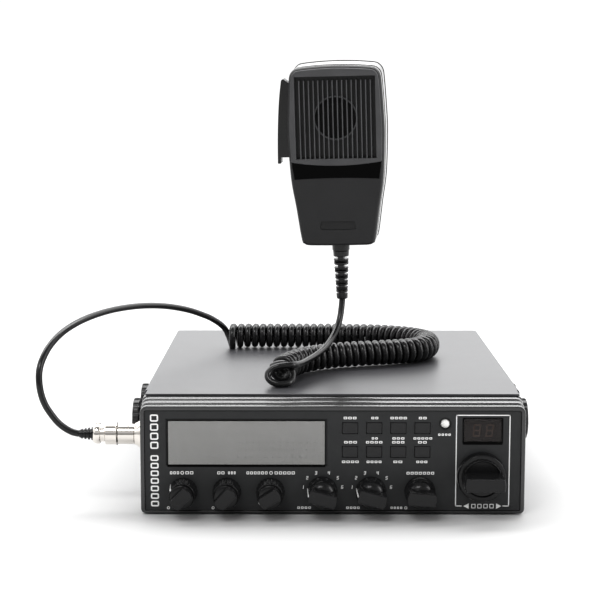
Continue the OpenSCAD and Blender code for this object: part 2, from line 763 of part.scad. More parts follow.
// Talk lever: pivots near its upper end and stands out further at its lower end
module ptt_lever() {
    color([0.11, 0.11, 0.11]) in_hand() difference() {
        translate([0, lever_y[1], 0]) rotate([90, 0, 0]) linear_extrude(lever_y[1] - lever_y[0])
            polygon([[-23.2, 92.6], [-26.5, 92.4], [-29, 94.4], [-30.2, 93.6], [-32.4, 73.5],
                [-33.4, 47], [-31.6, 47], [-31.6, 50.5], [-25.8, 50.5], [-25.4, 87], [-21.6, 87.8],
                [-21.2, 90.6]]);
        translate([pivot[0], lever_y[1] + 1, pivot[1]]) rotate([90, 0, 0])
            cylinder(r = 1 + shaft_play, h = lever_y[1] - lever_y[0] + 2);
    }
}

module ptt_switch() {
    color([0.15, 0.15, 0.16]) in_hand() {
        translate([-20.2, lever_y[0] + 1, 56]) cube([6, 6.6, 20]);
        translate([-23.4, lever_y[0] + 3, 62]) cube([3.3, 2.4, 3]);
    }
}

module mic_capsule() {
    color([0.3, 0.3, 0.3]) in_hand() translate([0, shell_split - front_shell_t + 3.8, capsule_z])
        rotate([-90, 0, 0]) {
            cylinder(r = 12.8, h = 6);
            cylinder(r = 8, h = 10);
        }
}

module handset_screws() {
    back = shell_split + rear_shell_t;
    color([0.3, 0.3, 0.3]) in_hand() for (at = rear_screws)
        translate([at[0], back, at[1]]) rotate([-90, 0, 0]) {
            translate([0, 0, -6]) cylinder(r = 1.45, h = 6.1);
            difference() {
                cylinder(r1 = 2.9, r2 = 2.3, h = 1.3);
                for (turn = [0, 90]) rotate(turn) translate([-1.4, -0.25, 0.6]) cube([2.8, 0.5, 1]);
            }
        }
}

module hanger_button() {
    back = shell_split + rear_shell_t;
    color([0.75, 0.75, 0.75]) in_hand() translate([0, back, hanger_z]) rotate([-90, 0, 0]) {
        translate([0, 0, -4]) cylinder(r = 2, h = 5);
        cylinder(r = 3.2, h = 3.6);
        translate([0, 0, 3.5]) cylinder(r1 = 6, r2 = 5.4, h = 1.8);
    }
}

top_cover();
bottom_cover();
chassis();
heat_sink();
front_frame();
front_panel();
meter_lens();
meter_display();
channel_lens();
channel_display();
status_led();
front_board();
main_board();
potentiometers();
selector_switches();
encoders();
clarifier_shaft();
volume_knob();
squelch_ring();
echo_knob();
tone_ring();
gain_knob();
power_ring();
band_knob();
mode_knob();
clarifier_knob();
channel_knob();
for (i = [0:7])
    button(i % 4, floor(i / 4));
thumb_screw(-1, thumb_back[0]);  // thumb_screw_left_front
thumb_screw(-1, thumb_back[1]);  // thumb_screw_left_rear
thumb_screw(1, thumb_back[0]);  // thumb_screw_right_front
thumb_screw(1, thumb_back[1]);  // thumb_screw_right_rear
loudspeaker();
antenna_socket();
power_inlet();
speaker_jacks();
cover_screws();
power_transistors();
mic_socket();
coupling_ring();
plug_body();
plug_boot();
lead();
curl();
handset_lead();
strain_relief();
handset_front();
handset_rear();
ptt_lever();
ptt_switch();
mic_capsule();
handset_screws();
hanger_button();
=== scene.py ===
"""Looks of the mobile transceiver: its case, controls, plug, curly cord and fist microphone."""
import json
import math

import bmesh
import bpy
from mathutils import Euler, Matrix, Vector


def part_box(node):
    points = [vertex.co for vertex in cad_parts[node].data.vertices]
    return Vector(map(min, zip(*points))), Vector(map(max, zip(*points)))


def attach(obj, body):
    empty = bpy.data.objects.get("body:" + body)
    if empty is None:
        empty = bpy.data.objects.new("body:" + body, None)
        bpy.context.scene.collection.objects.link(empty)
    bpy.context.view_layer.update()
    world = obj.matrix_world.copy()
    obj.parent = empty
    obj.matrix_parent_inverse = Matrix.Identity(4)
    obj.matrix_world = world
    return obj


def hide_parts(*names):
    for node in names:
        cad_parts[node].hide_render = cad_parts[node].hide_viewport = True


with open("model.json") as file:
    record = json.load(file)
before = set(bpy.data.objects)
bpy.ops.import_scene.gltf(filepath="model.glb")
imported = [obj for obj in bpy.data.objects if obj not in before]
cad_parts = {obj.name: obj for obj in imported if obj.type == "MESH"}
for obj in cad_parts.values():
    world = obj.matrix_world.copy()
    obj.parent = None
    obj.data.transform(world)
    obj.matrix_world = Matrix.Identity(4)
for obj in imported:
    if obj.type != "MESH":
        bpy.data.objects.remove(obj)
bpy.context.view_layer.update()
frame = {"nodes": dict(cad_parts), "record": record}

MM = 0.001
MICRON = 0.000001
TAU = 2 * math.pi
CASE_W = (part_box("front_frame")[1].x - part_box("front_frame")[0].x) / MM
FACE_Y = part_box("front_frame")[0].y / MM
PANEL_Y = FACE_Y + 0.5
COVER_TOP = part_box("top_cover")[1].z / MM


# ---- camera ----

def make_camera():
    """The camera stands ahead of the case, a little left of its middle, and looks slightly down."""
    left, ahead, height = 0.0134, 0.7757, 0.216
    pitch_down, turn_left = 7.6, 0.262
    data = bpy.data.cameras.new("camera")
    data.sensor_width = 36
    data.lens = 91.74
    camera = bpy.data.objects.new("camera", data)
    camera.location = (-left, FACE_Y * MM - ahead, height)
    camera.rotation_euler = (math.radians(90 - pitch_down), 0, math.radians(turn_left))
    bpy.context.scene.collection.objects.link(camera)
    bpy.context.scene.camera = camera


# ---- materials ----

def set_inputs(node, **values):
    for socket, value in values.items():
        node.inputs[socket.replace("_", " ")].default_value = value
    return node


def shader(name, **values):
    """A material whose Principled shader has the given socket values."""
    material = bpy.data.materials.new(name)
    material.use_nodes = True
    set_inputs(material.node_tree.nodes["Principled BSDF"], **values)
    return material


def grey(level):
    return (level, level, level, 1)


def textured(name, colour, roughness, grain, depth, mottle=0.15, spread=0.1, **values):
    """A finish with a fine grain, depth microns deep, and a slight variation in its colour."""
    material = shader(name, **values)
    nodes, links = material.node_tree.nodes, material.node_tree.links
    place = nodes.new("ShaderNodeTexCoord")
    fine = set_inputs(nodes.new("ShaderNodeTexNoise"), Scale=grain, Detail=3)
    broad = set_inputs(nodes.new("ShaderNodeTexNoise"), Scale=grain / 25, Detail=4)
    tint = nodes.new("ShaderNodeMix")
    tint.data_type = "RGBA"
    low, high = [tuple(min(1, c * f) for c in colour) + (1,) for f in (1 - mottle, 1 + mottle)]
    set_inputs(tint, A=low, B=high)
    rough = set_inputs(nodes.new("ShaderNodeMapRange"), To_Min=roughness * (1 - spread),
                       To_Max=min(1, roughness * (1 + spread)))
    bump = set_inputs(nodes.new("ShaderNodeBump"), Strength=1, Distance=depth * MICRON)
    for texture in (fine, broad):
        links.new(place.outputs["Object"], texture.inputs["Vector"])
    for texture, node, socket, result, target in (
            (broad, tint, "Factor", "Result", "Base Color"),
            (fine, rough, "Value", "Result", "Roughness"),
            (fine, bump, "Height", "Normal", "Normal")):
        links.new(texture.outputs["Fac"], node.inputs[socket])
        links.new(node.outputs[result], nodes["Principled BSDF"].inputs[target])
    return material


MATERIALS = {}


def finish(name, *values, **sockets):
    """The material of a slot."""
    MATERIALS[name] = textured(name, *values, **sockets)


finish("cover_paint", (0.062, 0.062, 0.068), 0.38, 2600, 25, spread=0.3, Coat_Weight=0.6,
       Coat_Roughness=0.34)
finish("bare_steel", (0.62, 0.63, 0.64), 0.35, 900, 5, Metallic=1)
finish("black_anodised", (0.03, 0.03, 0.03), 0.4, 900, 5)
finish("frame_plastic", (0.013, 0.013, 0.014), 0.26, 2600, 6, Coat_Weight=1,
       Coat_Roughness=0.2, Specular_IOR_Level=0.6)
finish("panel_plastic", (0.04, 0.041, 0.042), 0.5, 3200, 15, Specular_IOR_Level=0.3)
MATERIALS["clear_window"] = shader("clear_window", Base_Color=grey(0.3), Roughness=0.04, Alpha=0.16)
MATERIALS["smoked_window"] = shader("smoked_window", Base_Color=(0.02, 0.015, 0.014, 1),
                                    Roughness=0.05, Alpha=0.5)
finish("display_module", (0.43, 0.427, 0.414), 0.35, 260, 1, 0.06)
finish("digit_module", (0.05, 0.036, 0.032), 0.4, 260, 1)
finish("lamp", (0.92, 0.92, 0.9), 0.25, 500, 1, 0.03)
finish("circuit_board", (0.03, 0.13, 0.06), 0.4, 400, 5)
finish("control_metal", (0.6, 0.6, 0.6), 0.3, 900, 5, Metallic=1)
finish("switch_plastic", (0.35, 0.3, 0.2), 0.5, 900, 10)
finish("knob_plastic", (0.009, 0.009, 0.0095), 0.24, 2600, 8, 0.2, Specular_IOR_Level=0.4)
finish("button_plastic", (0.02, 0.02, 0.021), 0.45, 2600, 10)
finish("screw_plastic", (0.03, 0.03, 0.031), 0.3, 2600, 8)
finish("speaker_basket", (0.05, 0.05, 0.05), 0.4, 900, 10)
finish("nickel", (0.8, 0.79, 0.76), 0.2, 900, 2, Metallic=1)
finish("black_plastic", (0.02, 0.02, 0.02), 0.45, 1500, 10)
finish("black_screws", (0.05, 0.05, 0.05), 0.35, 1500, 5, Metallic=1)
finish("bright_chrome", (0.82, 0.785, 0.74), 0.12, 900, 1, 0.04, Metallic=1)
finish("cord_rubber", (0.009, 0.009, 0.0095), 0.23, 1800, 1)
finish("handset_plastic", (0.03, 0.03, 0.031), 0.5, 1500, 30, Specular_IOR_Level=0.35)
finish("handset_back_plastic", (0.03, 0.03, 0.031), 0.1, 1500, 1, Coat_Weight=1,
       Coat_Roughness=0.05)
finish("lever_plastic", (0.012, 0.012, 0.012), 0.25, 1500, 10)
finish("capsule_metal", (0.006, 0.006, 0.006), 0.8, 900, 10)
finish("button_steel", (0.75, 0.75, 0.75), 0.25, 900, 5, Metallic=1)
WHITE_INK = textured("white_ink", (0.93, 0.93, 0.92), 0.5, 1500, 2, 0.05)
GLOSS_BAND = textured("gloss_band", (0.003, 0.003, 0.003), 0.12, 900, 1,
                      Specular_IOR_Level=0.04)
# Near-black matte for painted shade: the frames round the windows, the handset's joint widened into
# a dark band, and a dark band round the rear shell
SHADE_AND_GAP_BLACK = textured("shade_and_gap_black", (0.002, 0.002, 0.002), 0.7, 900, 5,
                     Specular_IOR_Level=0.08)
# The grille's floor is darker and its ribs lighter than its frame: painted shade between the ribs
# and a painted highlight along them; the dark floor also lines the label recess as painted shade
SHADED_FLOOR = textured("shaded_grille_floor", (0.014, 0.014, 0.0145), 0.5, 1500, 20, 0.3)
LIT_RIB_PLASTIC = textured("lit_rib_plastic", (0.11, 0.11, 0.114), 0.35, 1900, 10, 0.25)
GRILLE_FRAME = textured("grille_frame", (0.078, 0.078, 0.081), 0.4, 1900, 50, 0.3, 0.25)
GHOST_INK = textured("ghost_segment", (0.424, 0.421, 0.408), 0.35, 300, 1, 0.05)
DIGIT_INK = textured("digit_segment", (0.5, 0.32, 0.24), 0.4, 300, 1, 0.1)


def paint_nodes():
    """Every CAD node takes the material of its slot, and its edges are slightly rounded."""
    for part in frame["record"]["subparts"]:
        node = frame["nodes"][part["node"]]
        node.data.materials.clear()
        node.data.materials.append(MATERIALS[part["material_slot"]])
        weld = node.modifiers.new("weld", "WELD")
        weld.merge_threshold = 0.00001
        soften(node, 0.18, 2)


# ---- meshes ----

def soften(piece, width, segments=2, angle=42):
    """Rounds off the sharp edges of a piece by width millimetres."""
    for polygon in piece.data.polygons:
        polygon.use_smooth = True
    bevel = piece.modifiers.new("round edges", "BEVEL")
    bevel.width = width * MM
    bevel.segments = segments
    bevel.limit_method = "ANGLE"
    bevel.angle_limit = math.radians(angle)
    bevel.harden_normals = True
    flat = piece.modifiers.new("even shading", "WEIGHTED_NORMAL")
    flat.mode = "FACE_AREA"
    flat.weight = 80


class Shape:
    """Closed shells in millimetres, made by joining loops that have equally many points."""

    def __init__(self):
        self.verts = []
        self.faces = []

    def loft(self, loops, start=True, end=True, joined=False):
        """Walls from loop to loop, with caps at the ends, or the last joined to the first."""
        base, n = len(self.verts), len(loops[0])
        for loop in loops:
            self.verts += [Vector(p) for p in loop]
        count = len(loops)
        for i in range(count if joined else count - 1):
            for k in range(n):
                a, b = base + i * n, base + (i + 1) % count * n
                j = (k + 1) % n
                self.faces.append((a + k, a + j, b + j, b + k))
        if joined:
            return self
        if start:
            self.faces.append(tuple(base + k for k in reversed(range(n))))
        if end:
            self.faces.append(tuple(base + (count - 1) * n + k for k in range(n)))
        return self

    def box(self, low, high):
        x0, y0, z0 = low
        x1, y1, z1 = high
        return self.loft([[(x0, y0, z), (x1, y0, z), (x1, y1, z), (x0, y1, z)] for z in (z0, z1)])

    def turned(self, profile, n=64, **ends):
        """A turned body: profile is a list of (radius, height)."""
        return self.loft([raised(circle(max(r, 0.01), n), z) for r, z in profile], **ends)

    def between(self, outer, inner, low, high):
        """What lies between two loops, from one height to another."""
        return self.loft([raised(outer, low), raised(outer, high), raised(inner, high),
                          raised(inner, low)], joined=True)

    def moved(self, matrix, other):
        """Adds another shape's shells, moved by a matrix."""
        base = len(self.verts)
        self.verts += [matrix @ v for v in other.verts]
        self.faces += [tuple(base + k for k in face) for face in other.faces]
        return self


def raised(loop, z):
    return [(p[0], p[1], z) for p in loop]


def circle(r, n):
    return [(r * math.cos(TAU * k / n), r * math.sin(TAU * k / n)) for k in range(n)]


def rounded(x0, y0, x1, y1, r_low, r_high=None, steps=6):
    """Rectangle whose lower and upper corners have their own radii."""
    r_high = r_low if r_high is None else r_high
    loop = []
    for cx, cy, r, start in ((x1 - r_low, y0 + r_low, r_low, -90),
                             (x1 - r_high, y1 - r_high, r_high, 0),
                             (x0 + r_high, y1 - r_high, r_high, 90),
                             (x0 + r_low, y0 + r_low, r_low, 180)):
        for k in range(steps + 1):
            a = math.radians(start + 90 * k / steps)
            loop.append((cx + r * math.cos(a), cy + r * math.sin(a)))
    return loop


def bar_outline(r, half):
    """A disc cut off by two parallel lines, half above and below its middle."""
    steps = 7
    edge = math.asin(min(half / r, 1))
    right = [(r * math.cos(a), r * math.sin(a)) for a in
             [-edge + 2 * edge * k / steps for k in range(steps + 1)]]
    return right + [(-x, -y) for x, y in right]


def fluted(r, flutes, centre, bite, per=8):
    """A circle with round flutes cut by small circles that stand at the distance centre."""
    loop = []
    for k in range(flutes * per):
        a = TAU * k / (flutes * per)
        off = centre * math.sin((k % per - per / 2) / per * TAU / flutes)
        reach = r
        if abs(off) < bite:
            near = centre * math.cos((k % per - per / 2) / per * TAU / flutes)
            reach = min(r, near - math.sqrt(bite * bite - off * off))
        loop.append((reach * math.cos(a), reach * math.sin(a)))
    return loop


def add_mesh(name, verts, faces):
    mesh = bpy.data.meshes.new(name)
    mesh.from_pydata([tuple(v) for v in verts], [], faces)
    mesh.update()
    for polygon in mesh.polygons:
        polygon.use_smooth = True
    piece = bpy.data.objects.new(name, mesh)
    bpy.context.scene.collection.objects.link(piece)
    return piece


def make(name, shape, place, body, slot, material=None, replaces=(), bevel=0.15, segments=2):
    """A piece from a shape: placed, painted, its edges rounded, and riding on its body."""
    piece = add_mesh(name, [(place @ v) * MM for v in shape.verts], shape.faces)
    mesh = bmesh.new()
    mesh.from_mesh(piece.data)
    bmesh.ops.remove_doubles(mesh, verts=mesh.verts, dist=0.000001)
    bmesh.ops.recalc_face_normals(mesh, faces=mesh.faces)
    mesh.to_mesh(piece.data)
    mesh.free()
    piece.data.materials.append(material or MATERIALS[slot])
    soften(piece, bevel, segments)
    if replaces:
        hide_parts(*replaces)
    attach(piece, body)
    return piece


def facing(x, z, y=FACE_Y, turn=0):
    """Local X to the right, Y up and Z out of the control face, turned about Z."""
    return Matrix.Translation((x, y, z)) @ Matrix.Rotation(math.radians(90), 4, "X") \
        @ Matrix.Rotation(math.radians(turn), 4, "Z")


def sideways(side, x, y, z):
    """Local Z out of a side wall: side -1 is left, 1 is right."""
    return Matrix.Translation((x, y, z)) @ Matrix.Rotation(math.radians(90 * side), 4, "Y")


def middle(node):
    low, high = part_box(node)
    return (low + high) / 2 / MM


# ---- curves ----

def spline_at(p0, p1, p2, p3, t):
    return 0.5 * (2 * p1 + (p2 - p0) * t + (2 * p0 - 5 * p1 + 4 * p2 - p3) * t * t
                  + (3 * p1 - p0 - 3 * p2 + p3) * t * t * t)


def smooth(route, steps):
    """A smooth curve through the route's points, with a few steps from each point to the next."""
    points = [Vector(p) for p in route]
    last = len(points) - 1
    curve = [spline_at(points[max(i - 1, 0)], points[i], points[i + 1], points[min(i + 2, last)],
                       k / steps) for i in range(last) for k in range(steps)]
    return curve + [points[last]]


def path_length(path):
    return sum((b - a).length for a, b in zip(path, path[1:]))


def tube(name, path, radii, sides):
    """A closed tube of round section along a path, with its radius at every point."""
    shape = Shape()
    count = len(path)
    side, loops = None, []
    for i, point in enumerate(path):
        ahead = (path[min(i + 1, count - 1)] - path[max(i - 1, 0)]).normalized()
        if side is None:
            side = ahead.cross(Vector((0.02, 0.01, 1))).normalized()
        side = (side - ahead * side.dot(ahead)).normalized()
        up = ahead.cross(side)
        loops.append([point + radii[i] * (math.cos(TAU * k / sides) * side
                                          + math.sin(TAU * k / sides) * up) for k in range(sides)])
    shape.loft(loops)
    return add_mesh(name, shape.verts, shape.faces)


# ---- cord ----

# The routes are the CAD model's own, in millimetres
LEAD = [(-133.8, -101.5, 39), (-137.5, -101.8, 40), (-141.3, -102.4, 42.3),
        (-144.8, -103, 45.5), (-148, -103.5, 49.8), (-151, -103.8, 54.8), (-153, -103.9, 60.5),
        (-154, -103.6, 67), (-154, -101.7, 73.3), (-152.7, -97.3, 78.9), (-150.2, -90.3, 84.2),
        (-146, -80.6, 89), (-140, -67.6, 92.6), (-132.5, -51, 94.7), (-123, -30, 95.3),
        (-111.2, -6.6, 94.1), (-99, 15, 91.1), (-87, 31, 86.8), (-77.2, 40.8, 82),
        (-69.6, 47, 77.4), (-63.2, 52.4, 71.9)]
CURL = [(-62.4, 48), (-46, 48), (-22, 48.2), (9, 47.8), (29.5, 44.8), (43.8, 38.4), (52.8, 31),
        (58.2, 21), (58.5, 10.8), (55.8, 0.6), (48.7, -8), (37.8, -13.5), (23.8, -18),
        (10, -22.5), (-2, -29), (-11, -37), (-18.5, -47.5), (-23.5, -59.5), (-26, -68),
        (-27, -74.5)]
HANDSET_LEAD = [(-21.2, -75, 68.2), (-20.6, -78.4, 65.3), (-22.8, -82.8, 63),
                (-28, -85, 62.5), (-32.8, -84, 64), (-34.5, -81.6, 67), (-32.2, -79.6, 69.9),
                (-27.4, -78.8, 71.4), (-21, -77.4, 71.6), (-17.4, -70.4, 71), (-14, -61, 70.9),
                (-8.4, -47.6, 71.9), (-3.2, -36.6, 74.3), (0.9, -27.2, 78.2), (3.9, -21, 83),
                (5.7, -17, 88.5), (6.6, -14.6, 93.8), (7.1, -13.1, 99.1), (7, -13.2, 102.6)]
CORD_D = 3.6
COIL_WIRE_D = 3.95
COIL_R = 5.525  # to the middle of the wire
COIL_Z = COVER_TOP + 7.55
TURN_POINTS = 20
START_PHASE = math.radians(39)
# The share of the way along the coil, and there its pitch, its lean back and its turn aside
COIL_PITCH = [(0, 4.9), (0.05, 4.55), (0.4, 4.35), (0.6, 4.1), (0.79, 4.4), (0.85, 6.2),
              (0.95, 6.6), (1, 5.2)]
COIL_LEAN = [(0, -8), (0.35, -8), (0.6, 10), (0.78, 14), (1, 0)]
COIL_YAW = [(0, 0), (0.7, 0), (0.82, 25), (0.93, 20), (1, 0)]
FIRST_SWELL = 1.1


def along(table, x):
    """Value at x of a curve given as (x, value) pairs, straight between them."""
    for (x0, v0), (x1, v1) in zip(table, table[1:]):
        if x <= x1:
            return v0 + (v1 - v0) * (x - x0) / (x1 - x0)
    return table[-1][1]


def coil_spots():
    """Spots on the coil's middle line: point, direction, share of the way and angle turned."""
    line = smooth([(x, y, COIL_Z) for x, y in CURL], 12)
    total, last = path_length(line), len(line) - 1
    spots, travelled, phase = [], 0.0, 0.0
    seg, into = 0, 0.0
    while seg < last:
        step = (line[seg + 1] - line[seg]).length
        if into > step:
            into -= step
            seg += 1
            continue
        ahead = (line[min(seg + 2, last)] - line[max(seg - 1, 0)]).normalized()
        share = travelled / total
        spots.append((line[seg].lerp(line[seg + 1], into / step), ahead, share, phase))
        local = along(COIL_PITCH, share) / TURN_POINTS
        into += local
        travelled += local
        phase += TAU / TURN_POINTS
    return spots, phase


def coil():
    """The curly part: a left-handed helix round its middle line, stretched near the handset."""
    spots, phase = coil_spots()
    # whole turns, so that the last one ends at the side where the lead goes on
    end_phase = TAU * round((phase + START_PHASE) / TAU) - START_PHASE
    stretch = (end_phase + 2 * START_PHASE) / phase
    points = []
    for spot, ahead, share, turned in spots:
        angle = START_PHASE - turned * stretch
        turn, tilt = math.radians(along(COIL_YAW, share)), math.radians(along(COIL_LEAN, share))
        left = Vector((-ahead.y, ahead.x, 0)) * math.cos(turn) + ahead * math.sin(turn)
        up = Vector((0, 0, 1)) * math.cos(tilt) + ahead * math.sin(tilt)
        # the first turn is wider, and hangs forward where the lead comes in
        swell = FIRST_SWELL * math.exp(-(turned / TAU) ** 2)
        shift = Vector((0, -3 * swell, -0.5 * swell))
        points.append(spot + shift
                      + (COIL_R + swell) * (math.cos(angle) * left + math.sin(angle) * up))
    return points


def ease(points, around):
    """Rounds off the path near one of its points."""
    reach, passes = 8, 20
    for _ in range(passes):
        low, high = max(around - reach, 1), min(around + reach, len(points) - 2)
        fresh = [points[i] * 0.5 + (points[i - 1] + points[i + 1]) * 0.25
                 for i in range(low, high)]
        points[low:high] = fresh


def make_cord():
    first, last = smooth(LEAD, 6), smooth(HANDSET_LEAD, 6)
    turns = coil()
    path = first[:-1] + turns + last[1:]
    ease(path, len(first) - 1)
    ease(path, len(first) - 1 + len(turns))
    path = [p * MM for p in path]
    thin, thick = [CORD_D / 2], [COIL_WIRE_D / 2]
    radii = thin * len(first) + thick * (len(turns) - 2) + thin * len(last)
    piece = tube("curly_cord", path, [r * MM for r in radii], 14)
    piece.data.materials.append(MATERIALS["cord_rubber"])
    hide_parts("lead", "curl", "handset_lead")
    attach(piece, "transceiver")


# ---- front frame ----

RIDGES = 3
RIDGE_PITCH = 4.8
GROOVE_W = 0.7
GROOVE_DEEP = 1.3
FACE_H = 57.2
SKIRT_TOP = COVER_TOP - 1.2
SKIRT_R = 2.4
# A ridge's rounded front edge: distance behind its start, and inset from the outline
RIDGE_EDGE = ((-0.02, GROOVE_DEEP), (0, 1.0), (0.3, 0.62), (0.9, 0.32), (1.8, 0.1), (2.8, 0))


def make_front_frame():
    """A hollow frame: rounded ridges outside, a stepped opening for the panel inside."""
    half = CASE_W / 2
    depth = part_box("front_frame")[1].y / MM - FACE_Y
    step = (COVER_TOP - FACE_H) / RIDGES

    def outside(back, inset, top, r_high=4):
        loop = rounded(-half + inset, inset, half - inset, top - inset, 2.6 - inset * 0.6,
                       r_high - inset * 0.6)
        return [(x, FACE_Y + back, z) for x, z in loop]

    def inside(back, x, low, high, r=1):
        return [(px, FACE_Y + back, pz) for px, pz in rounded(-x, low, x, high, r)]

    loops = [inside(depth, half - 4, 3.2, 53), inside(3.7, half - 4, 3.2, 53),
             inside(3.7, half - 2.25, 1.55, 54.75), inside(0.15, half - 2.25, 1.55, 54.75),
             inside(0, half - 2.1, 1.4, 54.9), outside(0, 0.5, FACE_H), outside(0.15, 0.24, FACE_H),
             outside(0.6, 0.07, FACE_H), outside(1.4, 0, FACE_H)]
    for i in range(RIDGES):
        top = FACE_H + i * step
        front, end = i * RIDGE_PITCH, (i + 1) * RIDGE_PITCH - GROOVE_W
        if i:
            loops += [outside(front + back, inset, top) for back, inset in RIDGE_EDGE]
        loops += [outside(end - 0.2, 0, top), outside(end, 0.25, top),
                  outside(end + 0.02, GROOVE_DEEP, top)]
    skirt = RIDGES * RIDGE_PITCH
    loops += [outside(back, inset, SKIRT_TOP, SKIRT_R) for back, inset in
              ((skirt - 0.02, 0.9), (skirt, 0.2), (skirt + 0.3, 0), (depth, 0))]
    make("ridged_frame", Shape().loft(loops, joined=True), Matrix(), "transceiver",
         "frame_plastic", replaces=["front_frame"], bevel=0.06, segments=1)


# ---- knobs ----

DUAL_TURNS = {"volume_knob": 45, "echo_knob": 48, "gain_knob": 32}
RING_POINTERS = {"squelch_ring": 150, "tone_ring": 220, "power_ring": 215}
BAR_TURNS = {"band_knob": 165, "mode_knob": 165, "clarifier_knob": -4}
RING_H = 10.6
BORE_R = 1.75
FLUTES = 22


def on_axis(node, height, turn=0):
    """Place of a knob of that height: its axis and its front are those of the node's box."""
    at = middle(node)
    return facing(at.x, at.z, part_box(node)[0].y / MM + height, turn)


def make_pointer(name, node, place, sections):
    """White line on a knob: sections are its inner and outer radius, half width and height."""
    line = Shape().loft([[(r0, -w, z), (r1, -w, z), (r1, w, z), (r0, w, z)]
                         for r0, r1, w, z in sections])
    make(name, line, place, node, "knob_plastic", WHITE_INK, bevel=0.03, segments=1)


def make_ring(node, pointer):
    """Fluted outer ring, with a white pointer line down its side."""
    rim = [(0, 7.3), (0.35, 7.5), (RING_H - 0.6, 6.9), (RING_H - 0.2, 6.72), (RING_H, 6.45)]
    loops = [raised(circle(BORE_R, FLUTES * 8), 0)]
    for z, r in rim:
        centre = 7.62 - 0.65 * z / RING_H
        loops.append(raised(fluted(r, FLUTES, centre, 0.44), z))
    for r, z in ((6.3, RING_H), (6.2, RING_H - 1.6), (BORE_R, RING_H - 1.6)):
        loops.append(raised(circle(r, FLUTES * 8), z))
    body = Shape().loft(loops, joined=True)
    body.turned([(2.9, -5), (2.9, 0.2)], 32)
    place = on_axis(node, RING_H, pointer)
    make(node.replace("_ring", "_outer_knob"), body, place, node, "knob_plastic", replaces=[node],
         bevel=0.08, segments=1)
    make_pointer(node.replace("_ring", "_pointer"), node, place,
                 ((7, 7.56, 0.25, 0.8), (6.4, 6.95, 0.55, RING_H - 0.5),
                  (6.3, 6.7, 0.55, RING_H + 0.03)))


def add_bar(body, *sections):
    """A knob's grip bar: sections are its radius, half width and height."""
    body.loft([raised(bar_outline(r, half), z) for r, half, z in sections])


def make_inner_knob(node, turn):
    """Disc with a flat-faced grip bar across it."""
    r, top = 6.05, 16.9
    body = Shape().turned([(1.6, 4), (1.6, 9.3), (r - 0.3, 9.3), (r, 9.6), (r, 11.6),
                           (r - 0.5, 12.1), (r - 2.5, 12.3)], 72)
    add_bar(body, (r - 0.02, 3.4, 9.5), (r - 0.05, 3.4, 12), (r - 0.3, 3.2, top - 0.35),
            (r - 0.5, 3.0, top))
    make(node.replace("_knob", "_inner_knob"), body, on_axis(node, top, turn), node,
         "knob_plastic", replaces=[node], bevel=0.22)


def dome(r0, r1, z0, z1, steps=8):
    """Points of a quarter-round dome from radius r0 at height z0 to r1 at z1."""
    return [(r1 + (r0 - r1) * math.cos(a), z0 + (z1 - z0) * math.sin(a)) for a in
            [math.pi / 2 * k / steps for k in range(steps + 1)]]


def make_bar_knob(node, turn, line=True):
    """Selector knob: a skirt, a glossy dome, a grip bar and a white line on the bar's end."""
    top = 17.2
    body = Shape().turned([(2.92, -4), (2.92, 0), (7.9, 0), (8.1, 0.3), (7.85, 4), (7.6, 4.4)]
                          + dome(7.5, 2.5, 4.5, 10.2), 72)
    add_bar(body, (8.06, 3.6, 0.2), (7.8, 3.55, 6), (7.5, 3.4, top - 0.4), (7.25, 3.15, top))
    place = on_axis(node, top, turn)
    make(node.replace("_knob", "_grip"), body, place, node, "knob_plastic", replaces=[node],
         bevel=0.25)
    if line:
        make_pointer(node.replace("_knob", "_pointer"), node, place,
                     ((7.6, 8.14, 0.3, 2), (7.0, 7.6, 0.5, top - 0.9), (6.8, 7.42, 0.5, top - 0.1)))


def make_channel_knob():
    """Wide skirt, scalloped crown round a shallow dish, and a thick grip bar."""
    top = 21
    body = Shape().turned([(2.92, -4), (2.92, 0), (12.6, 0), (12.9, 0.4), (12.6, 4.6),
                           (12.1, 5.3), (10.6, 5.4)], 96)
    scallops = 28
    loops = [raised(fluted(r, scallops, 10.55, 0.7), z) for r, z in
             ((10.2, 5.2), (10.2, 6.9), (9.9, 7.2))]
    loops += [raised(circle(r, scallops * 8), z) for r, z in ((9.4, 7.2), (9.1, 6.2), (2, 6.0))]
    body.loft(loops)
    add_bar(body, (10.75, 3.5, 2), (10.6, 3.5, 8), (10.3, 3.4, top - 0.5), (10.0, 3.1, top))
    make("channel_grip", body, on_axis("channel_knob", top), "channel_knob", "knob_plastic",
         replaces=["channel_knob"], bevel=0.25)


# ---- buttons ----

BUTTON_W, BUTTON_H = 7.9, 5.8


def make_button(number):
    """Push-button: a softly dished cap, the flange that holds it in, and its stem."""
    node = "button_%d" % number
    low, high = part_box(node)
    at = middle(node)
    front = low.y / MM

    def rim(inset, z):
        x, y = BUTTON_W / 2 - inset, BUTTON_H / 2 - inset
        return raised(rounded(-x, -y, x, y, 0.5), z)

    body = Shape().loft([rim(0, -5.6), rim(0, -0.45), rim(0.1, -0.15), rim(0.4, 0), rim(0.8, -0.05),
                         rim(1.8, -0.14)])
    body.loft([rim(-0.7, -4.7), rim(-0.7, -3.7)])
    body.turned([(1.5, -(high.y / MM - front)), (1.5, -5)], 24)
    make(node + "_cap", body, facing(at.x, at.z, front), node, "button_plastic", replaces=[node],
         bevel=0.06, segments=1)


# ---- windows and their displays ----

GHOST_SPAN = (-0.02, 0.05)
SEGMENTS = {"1": "bc", "2": "abged", "3": "abgcd", "4": "fgbc", "5": "afgcd", "6": "afgedc",
            "8": "abcdefg"}


SLANT = 0.1


